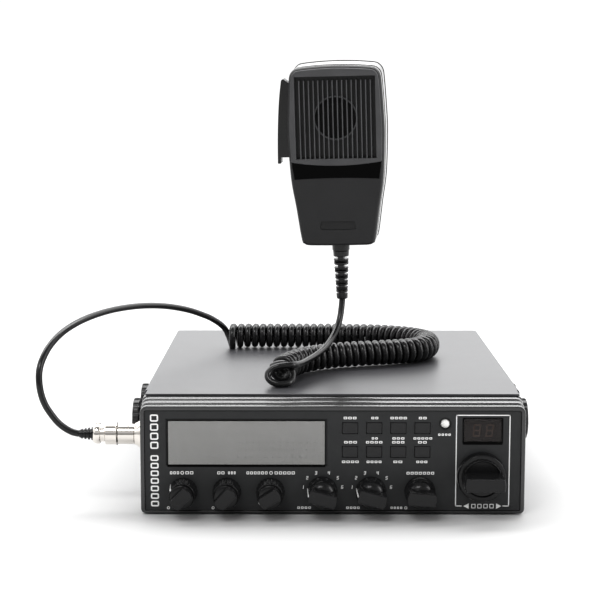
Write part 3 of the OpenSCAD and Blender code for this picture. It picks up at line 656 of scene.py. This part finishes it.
def digit(shape, text, x, y, w, h, t, z0, z1):
    """A slanted seven-segment numeral of width w and height h, with strokes t wide."""
    gap = t * 0.12
    spans = {"a": (0, h - t, w, h), "d": (0, 0, w, t), "g": (0, (h - t) / 2, w, (h + t) / 2),
             "f": (0, h / 2, t, h), "e": (0, 0, t, h / 2), "b": (w - t, h / 2, w, h),
             "c": (w - t, 0, w, h / 2)}
    for name in SEGMENTS[text]:
        x0, y0, x1, y1 = spans[name]
        if name in "adg":
            x0, x1 = x0 + gap, x1 - gap
        else:
            y0, y1 = y0 + gap, y1 - gap
        corners = [(x0, y0), (x1, y0), (x1, y1), (x0, y1)]
        loop = [(x + px + SLANT * py, y + py) for px, py in corners]
        shape.loft([raised(loop, z0), raised(loop, z1)])


def window_sides(node, left, below, right, top):
    """Sides of a window: its lens in the CAD model, each side moved inwards."""
    low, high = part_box(node)
    return (low.x / MM + left, low.z / MM + below, high.x / MM - right, high.z / MM - top)


METER_WINDOW = window_sides("meter_lens", 1.0, 0.5, 1.1, 1.0)
CHANNEL_WINDOW = window_sides("channel_lens", 0.6, 0.75, 0.7, -0.1)
CHANNEL_DEEP = 1.1


def window_shape(window, r, profile):
    """A plate or glass: profile is a list of insets from the window's sides and heights."""
    x0, z0, x1, z1 = window
    return Shape().loft([raised(rounded(x0 + i, z0 + i, x1 - i, z1 - i, r), h)
                         for i, h in profile])


def on_panel(name, shape, slot, material=None, replaces=(), sunk=0.0, bevel=0.03):
    """A flat piece of the front panel, sunk below its surface or standing on it."""
    make(name, shape, facing(0, 0, PANEL_Y + sunk), "transceiver", slot, material, replaces,
         bevel, 1)


def make_meter():
    """The meter's plate, its glass, and on the plate the faint unlit segments."""
    plate = window_shape(METER_WINDOW, 0.3, ((0.9, -0.6), (0.9, -0.02), (0, 0), (0, 0.1)))
    on_panel("meter_plate", plate, "display_module")
    glass = window_shape(METER_WINDOW, 0.3, ((0, 0.16), (0, 0.3), (0.15, 0.42)))
    on_panel("meter_window", glass, "clear_window", replaces=["meter_lens"])
    left, bottom = METER_WINDOW[0] + 8, METER_WINDOW[1] + 3.5
    shape = Shape()
    for i in range(6):
        digit(shape, "8", left + 28 + i * 7, bottom, 4.6, 8.6, 0.75, *GHOST_SPAN)
    low, high = GHOST_SPAN
    for i in range(22):
        x = left - 2 + i * 3.1
        shape.box((x, bottom + 12, low), (x + 2.2, bottom + 13.4, high))
    for i in range(4):
        y = bottom + i * 2.5
        shape.box((left - 2, y + 0.4, low), (left + 3, y + 1.6, high))
    for i in range(2):
        digit(shape, "8", left + 9 + i * 6, bottom, 4.0, 6.4, 0.65, *GHOST_SPAN)
    on_panel("meter_segments", shape, "display_module", GHOST_INK, sunk=-0.1, bevel=0.01)


def make_channel_display():
    """The sunk plate of the channel window, with two unlit digits on it."""
    plate = window_shape(CHANNEL_WINDOW, 0.3, ((0.3, -0.6), (0.3, 0)))
    on_panel("channel_plate", plate, "digit_module", sunk=CHANNEL_DEEP)
    shape = Shape()
    for x in (4.6, 11.2):
        digit(shape, "8", CHANNEL_WINDOW[0] + x, CHANNEL_WINDOW[1] + 2.4, 3.9, 6.6, 0.8,
              *GHOST_SPAN)
    on_panel("channel_segments", shape, "digit_module", DIGIT_INK, sunk=CHANNEL_DEEP, bevel=0.01)


def make_channel_window():
    """Smoked glass with a bevelled edge."""
    glass = window_shape(CHANNEL_WINDOW, 0.4,
                         ((0.2, -0.9), (0.2, -0.02), (0, 0), (0, 0.15), (0.3, 0.3)))
    on_panel("channel_window", glass, "smoked_window", replaces=["channel_lens"])


def make_painted_shadow_frame(name, window, left, top, right, below):
    """Black frame standing on the panel round a window: painted shadow of the window's recess,
    heavier below.
    """
    x0, z0, x1, z1 = window
    outer = rounded(x0 - left, z0 - below, x1 + right, z1 + top, 0.25)
    inner = rounded(x0, z0, x1, z1, 0.25)
    on_panel(name, Shape().between(outer, inner, -0.2, 0.22), "panel_plastic", SHADE_AND_GAP_BLACK,
             bevel=0.04)


# ---- printed marks ----

INK_LOW, INK_HIGH = -0.03, 0.04
# Upright columns of blocks beside the meter window: lower end, number and pitch
TITLE_X = (-94.7, -90.4)
TITLE_COLUMNS = ((3.7, 7, 4.05), (34.4, 4, 4.8))
# Rows of small blocks: height above the base, block height, then left end, right end and number
BLOCK_ROWS = (
    (20.9, 1.6, ((-84.6, -79.8, 3), (-76.6, -72.4, 2), (-60, -56.2, 2), (-54.4, -50.4, 3),
                 (-44.8, -33.8, 6), (-30.2, -19.6, 5))),
    (2.5, 1.3, ((-18.4, -11.2, 4), (7.1, 14.2, 4), (30.2, 36.4, 4))),
    (20.9, 1.5, ((38.4, 52.8, 7),)),
    (50.2, 1.3, ((5.6, 12.3, 3), (19.9, 23.6, 2), (29.8, 38.4, 4), (44.5, 48.6, 2))),
    (37.4, 1.3, ((5.9, 12.6, 3), (17.2, 25.8, 4), (30.8, 37.2, 3), (44.2, 48.8, 2))),
    (39.5, 1.2, ((20.2, 23.4, 2), (30.9, 37.2, 3), (41.8, 51.6, 5))),
    (27, 1.3, ((4.8, 13.6, 4), (17.6, 25.4, 4), (31.5, 36.2, 2), (43.4, 49.2, 3))),
    (41.5, 1.2, ((54.6, 61.2, 4),)))
# Rings: middle, radius and thickness
RING_MARKS = ((-78.2, 21.7, 0.95, 0.4), (-32, 21.7, 0.95, 0.4), (-85.6, 3, 0.8, 0.35),
              (-62.3, 3, 0.8, 0.35), (38.2, 3.1, 0.8, 0.35))
# The numbers of a selector's six positions, from its axis
DIAL_Z = 12
DIAL_SPOTS = ((-10.3, 2.2), (-7.9, 7.1), (-3.3, 9.7), (3.3, 9.7), (8.0, 7.1), (10.3, 2.2))
# Line round the channel window and knob, and its gap below, filled by two arrows and blocks
CHANNEL_BOX = (63.8, 3.9, 92, 52.6)
LINE_W = 0.55
GAP_X = (67.3, 88.6)
ARROWS = ((68.2, 71), (88, 85.2))


def dashes(shape, x0, x1, z, h, count, gap=0.45):
    """A printed row of small hollow blocks between x0 and x1."""
    w = (x1 - x0 + gap) / count
    for i in range(count):
        hollow_block(shape, x0 + i * w, z, x0 + i * w + w - gap, z + h, 0.42, 0.3)


def ring_mark(shape, x, z, r, t):
    outer, inner = [[(x + px, z + pz) for px, pz in circle(q, 20)] for q in (r, r - t)]
    shape.between(outer, inner, INK_LOW, INK_HIGH)


def hollow_block(shape, x0, z0, x1, z1, t, r=0.9):
    """A printed block with rounded corners, its stroke t wide."""
    outer = rounded(x0, z0, x1, z1, r, steps=3)
    inner = rounded(x0 + t, z0 + t, x1 - t, z1 - t, max(r - t, 0.1), steps=3)
    shape.between(outer, inner, INK_LOW, INK_HIGH)


def dial_numbers(shape, x):
    for i, (dx, dz) in enumerate(DIAL_SPOTS):
        digit(shape, str(i + 1), x + dx - 0.55, DIAL_Z + dz - 0.95, 1.15, 1.9, 0.36, INK_LOW,
              INK_HIGH)


def make_marks():
    """Everything that is printed white on the panel: neutral marks, and numbers on the dials."""
    shape = Shape()
    for low, count, pitch in TITLE_COLUMNS:
        for i in range(count):
            hollow_block(shape, TITLE_X[0], low + i * pitch, TITLE_X[1],
                         low + (i + 1) * pitch - 0.95, 0.8)
    for z, h, spans in BLOCK_ROWS:
        for x0, x1, count in spans:
            dashes(shape, x0, x1, z, h, count)
    for ring in RING_MARKS:
        ring_mark(shape, *ring)
    dial_numbers(shape, middle("band_knob").x)
    dial_numbers(shape, middle("mode_knob").x)
    x0, z0, x1, z1 = CHANNEL_BOX
    t = LINE_W
    for a, b in (((x0, z0), (x0 + t, z1)), ((x1 - t, z0), (x1, z1)), ((x0, z1 - t), (x1, z1)),
                 ((x0, z0), (GAP_X[0], z0 + t)), ((GAP_X[1], z0), (x1, z0 + t))):
        shape.box((*a, INK_LOW), (*b, INK_HIGH))
    for tip, tail in ARROWS:
        loop = [(tip, 4.1), (tail, 2.6), (tail, 5.6)]
        loop = loop if tip < tail else loop[::-1]
        shape.loft([raised(loop, INK_LOW), raised(loop, INK_HIGH)])
    dashes(shape, 72.3, 84, 2.9, 2.4, 4, 0.9)
    on_panel("printed_marks", shape, "panel_plastic", WHITE_INK, bevel=0.01)


# ---- bracket screws ----

THUMB_T, THUMB_R, THUMB_FLUTES = 4.7, 11, 14


def drawn_in(loop, r):
    """A loop whose points further out than r come in to r."""
    return [(x * min(1, r / math.hypot(x, y)), y * min(1, r / math.hypot(x, y))) for x, y in loop]


def make_thumb_screw(side, end):
    """Fluted plastic head with a shallow dish in its outer face, on a metal shank."""
    node = "thumb_screw_%s_%s" % (side, end)
    sign = -1 if side == "left" else 1
    low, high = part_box(node)
    outer = (low.x if sign < 0 else high.x) / MM
    at = middle(node)
    t, r = THUMB_T, THUMB_R
    place = sideways(sign, outer - sign * t, at.y, at.z)
    outline = fluted(r, THUMB_FLUTES, r + 1.1, 1.9, 10)
    loops = [raised(drawn_in(outline, q), z) for q, z in
             ((r - 3.2, 0), (r - 2.8, 0.9), (r - 0.7, 1.0), (r - 0.1, 1.4), (r, 1.9), (r, t - 1),
              (r - 0.3, t - 0.3), (r - 1, t))]
    loops += [raised(circle(q, len(outline)), z) for q, z in
              ((r - 3.4, t), (r - 4, t - 0.6), (1, t - 0.7))]
    body = Shape().loft(loops)
    body.turned([(2.42, -t - 5), (2.42, 0.2)], 32)
    make(node + "_head", body, place, node, "screw_plastic", replaces=[node], bevel=0.1, segments=1)


# ---- microphone socket, plug and boot ----

# Profiles as (radius, distance out from the case's left wall)
SOCKET = [(6, -8.5), (6, 0), (8.2, 0), (8.1, 0.5), (6.6, 2.6), (6.0, 3.6), (5.8, 4.1), (4.6, 4.1),
          (4.6, 11.5), (4.0, 11.5), (4.0, 3)]
COLLAR = [(4.72, 4.4), (5.3, 4.3), (5.5, 4.6), (5.5, 12.7), (5.4, 12.9), (5.15, 13.15),
          (4.72, 13.2)]
PLUG_SHELL = [(3.9, 5), (3.9, 13.5), (6.05, 13.5), (6.15, 13.7), (6.05, 14), (5.75, 14.1),
              (5.75, 19.3), (5.4, 19.7), (4.3, 20), (4.2, 22.4)]
CLAMP = [(3.4, 22.2), (4.9, 22.3), (5.35, 22.9), (5.4, 24.2), (5.1, 25.4), (4.3, 26.2),
         (2.9, 26.3)]
CLAMP_MIDDLE = 24.2
CLAMP_SCREW = [(1.0, 2), (1.0, 5.3), (1.45, 5.35), (1.5, 5.9), (1.1, 6.15), (0.3, 6.2)]
CLAMP_SCREW_TURNS = (35, 145)
BOOT_START, BOOT_RIBS, BOOT_PITCH = 26.3, 4, 1.85


def make_plug():
    """Panel socket, the plug's ring, its shell with a cord clamp, and the ribbed boot."""
    socket = middle("mic_socket")
    place = sideways(-1, -CASE_W / 2, socket.y, socket.z)
    make("panel_socket", Shape().turned(SOCKET), place, "transceiver", "bright_chrome",
         replaces=["mic_socket"], bevel=0.12)
    make("plug_collar", Shape().turned(COLLAR, joined=True), place, "coupling_ring",
         "bright_chrome", replaces=["coupling_ring"], bevel=0.1)
    body = Shape().turned(PLUG_SHELL)
    body.turned(CLAMP)
    for spin in CLAMP_SCREW_TURNS:
        out = Matrix.Rotation(math.radians(spin), 4, "Z") \
            @ Matrix.Translation((0, 0, CLAMP_MIDDLE)) @ Matrix.Rotation(math.radians(90), 4, "Y")
        body.moved(out, Shape().turned(CLAMP_SCREW, 24))
    make("plug_shell", body, place, "transceiver", "bright_chrome", replaces=["plug_body"],
         bevel=0.1)
    profile = [(2.5, 25.5), (2.7, BOOT_START)]
    for i in range(BOOT_RIBS):
        z, r, neck = BOOT_START + BOOT_PITCH * i, 3.55 - 0.3 * i, 2.45 - 0.1 * i
        profile += [(r, z + 0.05), (r - 0.05, z + 0.8), (neck, z + 1.0), (neck - 0.05, z + 1.8)]
    profile += [(1.75, 33.8)]
    make("ribbed_boot", Shape().turned(profile, 48), place, "transceiver", "cord_rubber",
         replaces=["plug_boot"], bevel=0.08, segments=1)


# ---- handset ----

# The CAD model's own place and outline of the handset
HAND = Matrix.Translation((6.1, -15.5, 133)) \
    @ Euler([math.radians(a) for a in (4.4, -1.7, 0)], "XYZ").to_matrix().to_4x4() \
    @ Matrix.Rotation(math.radians(-6), 4, "Z")
HALF = [(0, 0), (10, 0.1), (17, 0.3), (19.4, 1.2), (21, 3.8), (23.6, 22), (26.1, 38.5), (27.2, 62),
        (26.9, 75), (25.9, 92), (25.1, 96.6), (23.2, 99), (20.4, 100.1), (10, 101), (0, 101.3)]
SPLIT, FRONT, BACK = -3, -17, 15
# The rear shell's upper end stands a little higher: by how much, and from which height it begins
REAR_RISE, RISE_FROM, RISE_SPAN = 0.9, 60, 41
PLATE_TOP = 48
MIDDLE_Z = 52
GRILLE = (-22.5, 49.7, 22.5, 95.4)
CAPSULE_Z = 72.3
CAPSULE_R = 11.5
RIBS = 16
RIB_PITCH = 2.65
RIB_FLOOR = -14.0
# A rib's section: half width and depth, from its foot to its top
RIB_SIDE = ((0.42, RIB_FLOOR), (0.36, -16.2), (0.2, -16.6))


def hand_outline(grow):
    """The handset's outline from the front, offset outwards by grow."""
    half = [Vector((p.x, p.y)) for p in smooth([(x, z, 0) for x, z in HALF], 4)]
    loop = half[:-1] + [Vector((-p.x, p.y)) for p in reversed(half)][:-1]
    n = len(loop)
    out = []
    for k in range(n):
        tangent = (loop[(k + 1) % n] - loop[k - 1]).normalized()
        out.append(loop[k] + grow * Vector((tangent.y, -tangent.x)))
    return out


def ray_loop(loop, centre, directions):
    """Where rays from the centre leave a closed loop."""
    found = []
    for d in directions:
        best = None
        for k, a in enumerate(loop):
            b = loop[(k + 1) % len(loop)]
            e = Vector((b[0] - a[0], b[1] - a[1]))
            cross = d.x * e.y - d.y * e.x
            if abs(cross) < 1e-12:
                continue
            w = Vector((a[0] - centre[0], a[1] - centre[1]))
            t = (w.x * e.y - w.y * e.x) / cross
            u = (w.x * d.y - w.y * d.x) / cross
            if t > 0 and -1e-6 <= u <= 1 + 1e-6 and (best is None or t > best):
                best = t
        found.append((centre[0] + d.x * best, centre[1] + d.y * best))
    return found


def deep(loop, y):
    """A front-view loop placed at a depth y."""
    return [(p[0], y, p[1]) for p in loop]


def hand_loop(grow, y, rise=0.0):
    """The outline offset outwards at a depth y, its upper end raised by up to rise."""
    return [(p.x, y, p.y + rise * max(0, p.y - RISE_FROM) / RISE_SPAN) for p in hand_outline(grow)]


def lip_z(x):
    """Height of the lower lip under the grille, lowest in the middle."""
    return 45.6 + 2.2 * (x / 26) ** 2


def across(half, k, steps):
    """Step k of a line from -half to half."""
    return -half + 2 * half * k / steps


def on_hand(name, shape, material=None, replaces=(), bevel=0.1, segments=2):
    """A piece of the handset's front."""
    make(name, shape, HAND, "handset", "handset_plastic", material, replaces, bevel, segments)


LABEL = (-10, 9.3, 10, 14.3)
LABEL_Z = 11.8


def make_front_shell():
    """Front half of the case: drafted walls, a rounded front edge, a blank label recess."""
    loops = [hand_loop(g, y) for g, y in
             ((-2.0, -5), (-2.0, SPLIT), (-0.25, SPLIT), (0, SPLIT - 0.3), (-0.1, -13.6),
              (-0.35, -15), (-0.9, -15.9), (-1.7, -16.25))]
    body = Shape().loft(loops, start=False, end=False)
    # a plate round the label recess closes the lower face; the grille's frame closes the rest
    centre = (0, LABEL_Z)
    edge = [p for p in loops[-1] if p[2] < PLATE_TOP]
    right = max(edge, key=lambda p: p[0] + p[2])
    left = max(edge, key=lambda p: p[2] - p[0])
    first = edge.index(right) + 1
    bridge = [Vector(right).lerp(Vector(left), k / 24) for k in range(1, 24)]
    ring = edge[:first] + bridge + edge[first:]
    directions = [Vector((p[0] - centre[0], p[2] - centre[1])).normalized() for p in ring]
    inner = ray_loop(rounded(*LABEL, 0.6, steps=8), centre, directions)
    body.loft([ring, deep(inner, loops[-1][0][1]), deep(inner, -15.2)], start=False, end=False)
    on_hand("front_shell", body, replaces=["handset_front"], bevel=0.12)
    x0, z0, x1, z1 = LABEL
    margin = 0.3
    blank = rounded(x0 - margin, z0 - margin, x1 + margin, z1 + margin, 0.6)
    # the recess floor, darkened: painted shade of the recess
    on_hand("blank_label", Shape().loft([deep(blank, -14.9), deep(blank, -15.5)]), SHADED_FLOOR)


def grille_outline():
    """The outer edge of the grille's frame: along the curved lip, then round the upper outline."""
    top_part = [p for p in hand_outline(-1.25) if p.y > lip_z(p.x) + 0.4]
    width = max(p.x for p in top_part if p.y < 52)
    lip = [Vector((across(width, k, 24), lip_z(across(width, k, 24)))) for k in range(25)]
    right = [p for p in top_part if p.x >= 0]
    left = [p for p in top_part if p.x < 0]
    return lip + sorted(right, key=lambda p: math.atan2(p.y - CAPSULE_Z, p.x)) \
        + sorted(left, key=lambda p: math.atan2(p.y - CAPSULE_Z, p.x) % TAU)


def make_grille():
    """The raised frame round the grille, the recess floor with its round opening, and the ribs."""
    centre = (0, CAPSULE_Z)
    rays = 200
    x0, z0, x1, z1 = GRILLE
    corners = [math.atan2(z - CAPSULE_Z, x) % TAU for x in (x0, x1) for z in (z0, z1)]
    angles = sorted([TAU * k / rays for k in range(rays)] + corners)
    directions = [Vector((math.cos(a), math.sin(a))) for a in angles]
    hole = ray_loop([(x0, z0), (x1, z0), (x1, z1), (x0, z1)], centre, directions)
    edge = ray_loop(grille_outline(), centre, directions)

    def pulled(loop, d):
        return [(p[0] - d * q.x, p[1] - d * q.y) for p, q in zip(loop, directions)]

    def open_loft(*loops):
        return Shape().loft(loops, start=False, end=False)

    plate = open_loft(deep(hole, -13.2), deep(hole, -16.8), deep(pulled(hole, -0.25), FRONT),
                      deep(pulled(edge, 0.9), FRONT), deep(pulled(edge, 0.25), -16.75),
                      deep(edge, -16.2), deep(edge, -15))
    plate.loft([deep(hole, -13.2), deep(hole, -12.4)], start=False, end=False)
    on_hand("grille_frame", plate, GRILLE_FRAME)
    opening, wider = [[(centre[0] + r * d.x, centre[1] + r * d.y) for d in directions]
                      for r in (CAPSULE_R, CAPSULE_R + 0.8)]
    # the floor is darkened: painted shade between the ribs
    floor = open_loft(deep(pulled(hole, -0.5), -13.6), deep(wider, -13.6))
    on_hand("shaded_grille_floor", floor, SHADED_FLOOR, bevel=0.05)
    rim = open_loft(deep(wider, -13.4), deep(wider, -15.2), deep(opening, -15.2),
                    deep(opening, -12.6))
    on_hand("capsule_rim", rim, GRILLE_FRAME)
    # the ribs are lightened: a painted highlight along them
    ribs = Shape()
    for i in range(RIBS):
        x = (i - (RIBS - 1) / 2) * RIB_PITCH
        section = [(x - w, y) for w, y in RIB_SIDE] + [(x + w, y) for w, y in RIB_SIDE[::-1]]
        ribs.loft([[(px, py, z) for px, py in section] for z in (z0 - 0.3, z1 - 2.2)])
    on_hand("grille_ribs", ribs, LIT_RIB_PLASTIC, bevel=0.08, segments=1)


def make_gloss_band():
    """The dark glossy band under the grille."""
    steps, upper_half, lower_half = 24, 25.2, 23.8
    upper = [Vector((across(upper_half, k, steps), lip_z(across(upper_half, k, steps)) + 0.6))
             for k in range(steps + 1)]
    lower = [Vector((across(lower_half, k, steps), 38.9 - 0.7 * ((k / steps - 0.5) * 2) ** 2))
             for k in range(steps + 1)]
    outline = lower + upper[::-1]
    on_hand("gloss_band", Shape().loft([deep(outline, -15.8), deep(outline, -16.5)]), GLOSS_BAND,
            bevel=0.08)


def make_rim_band(name, low, high, grow, material, rise=0.0):
    """A closed band round the handset's wall, from depth low to high, proud by grow."""
    loops = [hand_loop(g, y, rise) for g, y in
             ((-1.2, low), (grow - 0.05, low), (grow, low + 0.15), (grow, high - 0.15),
              (grow - 0.05, high), (-1.2, high))]
    make(name, Shape().loft(loops, joined=True), HAND, "handset", "handset_back_plastic", material,
         bevel=0.03, segments=1)


def make_rear_shell():
    """Rear half of the case: a glossy rim at the joint and a broadly rounded back."""
    profile = [(-1.6, SPLIT + 1.4), (-1.6, SPLIT + 0.08), (-0.2, SPLIT + 0.08), (0.1, SPLIT + 0.3),
               (0.15, SPLIT + 0.8), (0.22, 4), (0.3, 11), (0.2, 12.2), (-0.8, 13.7), (-2.4, 14.6)]
    loops = [hand_loop(g, y, REAR_RISE * min(1, max(0, (y - SPLIT) / 14))) for g, y in profile]
    edge = loops[-1]
    for share, y in ((0.95, 14.85), (0.86, BACK)):
        loops.append([(x * share, y, MIDDLE_Z + (z - MIDDLE_Z) * share) for x, _, z in edge])
    make("rear_shell", Shape().loft(loops, start=False), HAND, "handset", "handset_back_plastic",
         replaces=["handset_rear"], bevel=0.1)
    make_rim_band("front_shell_wall", -13.3, -8.9, 0.06, None)
    # the joint between the shells, its dark line widened into a band of painted shade
    make_rim_band("seam_and_shade_band", -8.8, -3.2, 0.03, SHADE_AND_GAP_BLACK)
    # a dark band round the rear shell's widest part: painted shade along its outline
    make_rim_band("rear_shade_band", 10.9, 12.1, 0.5, SHADE_AND_GAP_BLACK, REAR_RISE)


def make_lever():
    """Talk lever: a rocking plate with a hooked lower end and a hinge boss at the top."""
    bow = [(-30.2, 93.6), (-31.5, 84), (-32.4, 73.5), (-33.1, 60), (-33.4, 47)]
    outer_edge = [(p.x, p.y) for p in smooth([(x, z, 0) for x, z in bow], 4)]
    outline = [(-23.2, 92.6), (-26.5, 92.4), (-29, 94.4)] + outer_edge \
        + [(-31.6, 47), (-31.6, 50.5), (-25.8, 50.5), (-25.4, 87), (-21.6, 87.8), (-21.2, 90.6)]
    body = Shape().loft([deep(outline, -4.6), deep(outline, -13.1)])
    make("talk_lever", body, HAND, "ptt_lever", "lever_plastic", replaces=["ptt_lever"],
         bevel=0.35)


# Slots of the strain relief from its top: height of the middle, width, and whether it is cut
# from the two sides or from the front and the back
SLOTS = [(-9.2, 1.5, "sides"), (-11.4, 0.9, "front"), (-14.0, 1.5, "sides"), (-16.2, 1.0, "front"),
         (-18.4, 1.1, "sides"), (-20.2, 0.8, "front"), (-22.1, 0.9, "sides"), (-24.0, 0.9, "front"),
         (-25.9, 0.8, "sides"), (-27.8, 0.9, "front"), (-29.9, 0.7, "sides")]


def make_strain_relief():
    """Collar, then a tapered stem cut by slots from the sides and the front in turn."""
    def radius(z):
        return 4.62 + (z + 5) * 0.05

    body = Shape().turned([(4.5, 0.6), (5.0, -0.2), (4.95, -4.6), (radius(-5), -5.1)], 48)
    top = -5
    for z, w, kind in SLOTS + [(-33.4, 0, "")]:
        high, low = top, z + w / 2
        body.turned([(radius(high) - 0.25, high), (radius(high), high - 0.2),
                     (radius(low), low + 0.2), (radius(low) - 0.25, low)], 48)
        if kind:
            r = radius(z) - 0.15
            web = bar_outline(r, 1.75)
            web = web if kind == "front" else [(-y, x) for x, y in web]
            body.loft([raised(web, low + 0.1), raised(web, z - w / 2 - 0.1)])
        top = z - w / 2
    body.turned([(1.9, -33), (2.1, -33.6)], 32)
    make("ribbed_relief", body, HAND, "handset", "cord_rubber", replaces=["strain_relief"],
         bevel=0.1, segments=1)


# ---- floor and light ----

def make_floor():
    side, front, back, below = 4, -4, 1.25, -0.0005
    floor = add_mesh("floor", [(-side, front, below), (side, front, below), (side, back, below),
                               (-side, back, below)], [(0, 1, 2, 3)])
    floor.data.materials.append(shader("floor_paper", Base_Color=grey(0.63), Roughness=0.7,
                                       Specular_IOR_Level=0.1))


def area_light(name, place, target, size, power):
    data = bpy.data.lights.new(name, "AREA")
    data.shape = "RECTANGLE"
    data.size, data.size_y = size
    data.energy = power
    lamp = bpy.data.objects.new(name, data)
    lamp.location = place
    lamp.rotation_euler = (Vector(target) - Vector(place)).to_track_quat("-Z", "Y").to_euler()
    bpy.context.scene.collection.objects.link(lamp)


# Brightness of the surroundings by height, from the horizon to overhead
HEIGHT_TONES = ((0, 0.9), (0.12, 0.84), (0.22, 1.1), (0.35, 1.9), (0.62, 1.9), (0.8, 0.6),
                (0.97, 0.45))
# The same from behind the camera (-Y) to behind the object (+Y): where it changes, and its values
DEPTH_SPAN = (-0.75, 0.25)
DEPTH_TONES = (0.34, 1.2)


def make_lights():
    """A light tent, brighter behind the object than behind the camera, and three soft boxes."""
    world = bpy.data.worlds.new("studio")
    world.use_nodes = True
    nodes, links = world.node_tree.nodes, world.node_tree.links
    background = set_inputs(nodes["Background"], Color=grey(1))
    place = nodes.new("ShaderNodeTexCoord")
    split = nodes.new("ShaderNodeSeparateXYZ")
    level = set_inputs(nodes.new("ShaderNodeMapRange"), From_Min=DEPTH_SPAN[0],
                       From_Max=DEPTH_SPAN[1], To_Min=DEPTH_TONES[0], To_Max=DEPTH_TONES[1])
    ramp = nodes.new("ShaderNodeValToRGB")
    stops = ramp.color_ramp.elements
    for spot, tone in HEIGHT_TONES:
        stop = stops[0] if spot == 0 else stops.new(spot)
        stop.color = grey(tone)
    stops.remove(stops[-1])
    both = nodes.new("ShaderNodeMath")
    both.operation = "MULTIPLY"
    links.new(place.outputs["Generated"], split.inputs["Vector"])
    links.new(split.outputs["Y"], level.inputs["Value"])
    links.new(split.outputs["Z"], ramp.inputs["Fac"])
    links.new(level.outputs["Result"], both.inputs[0])
    links.new(ramp.outputs["Color"], both.inputs[1])
    links.new(both.outputs["Value"], background.inputs["Strength"])
    bpy.context.scene.world = world
    area_light("front_box", (-0.5, -1.2, 1.7), (0, 0, 0.1), (0.9, 0.5), 12)
    area_light("top_box", (-0.1, 0.7, 1.5), (0, 0, 0), (2.4, 0.7), 32)
    area_light("side_box", (1.1, -0.35, 0.5), (0, 0, 0.1), (0.25, 0.9), 4)
    view = bpy.context.scene.view_settings
    view.view_transform = "Standard"
    view.gamma = 0.85


# ---- the whole ----

make_camera()
make_plug()
make_cord()
paint_nodes()
make_front_frame()
for node, pointer in RING_POINTERS.items():
    make_ring(node, pointer)
for node, turn in DUAL_TURNS.items():
    make_inner_knob(node, turn)
for node, turn in BAR_TURNS.items():
    make_bar_knob(node, turn, line=node != "clarifier_knob")
make_channel_knob()
for number in range(1, 9):
    make_button(number)
make_meter()
make_channel_display()
make_channel_window()
# black frames round the windows: painted shadow of their recesses
make_painted_shadow_frame("channel_painted_shadow", CHANNEL_WINDOW, 0.35, 0.4, 0.5, 1.5)
make_painted_shadow_frame("meter_painted_shadow", METER_WINDOW, 0.45, 0.25, 0.3, 1.3)
make_marks()
for side in ("left", "right"):
    for end in ("front", "rear"):
        make_thumb_screw(side, end)
make_front_shell()
make_grille()
make_gloss_band()
make_rear_shell()
make_lever()
make_strain_relief()
make_floor()
make_lights()
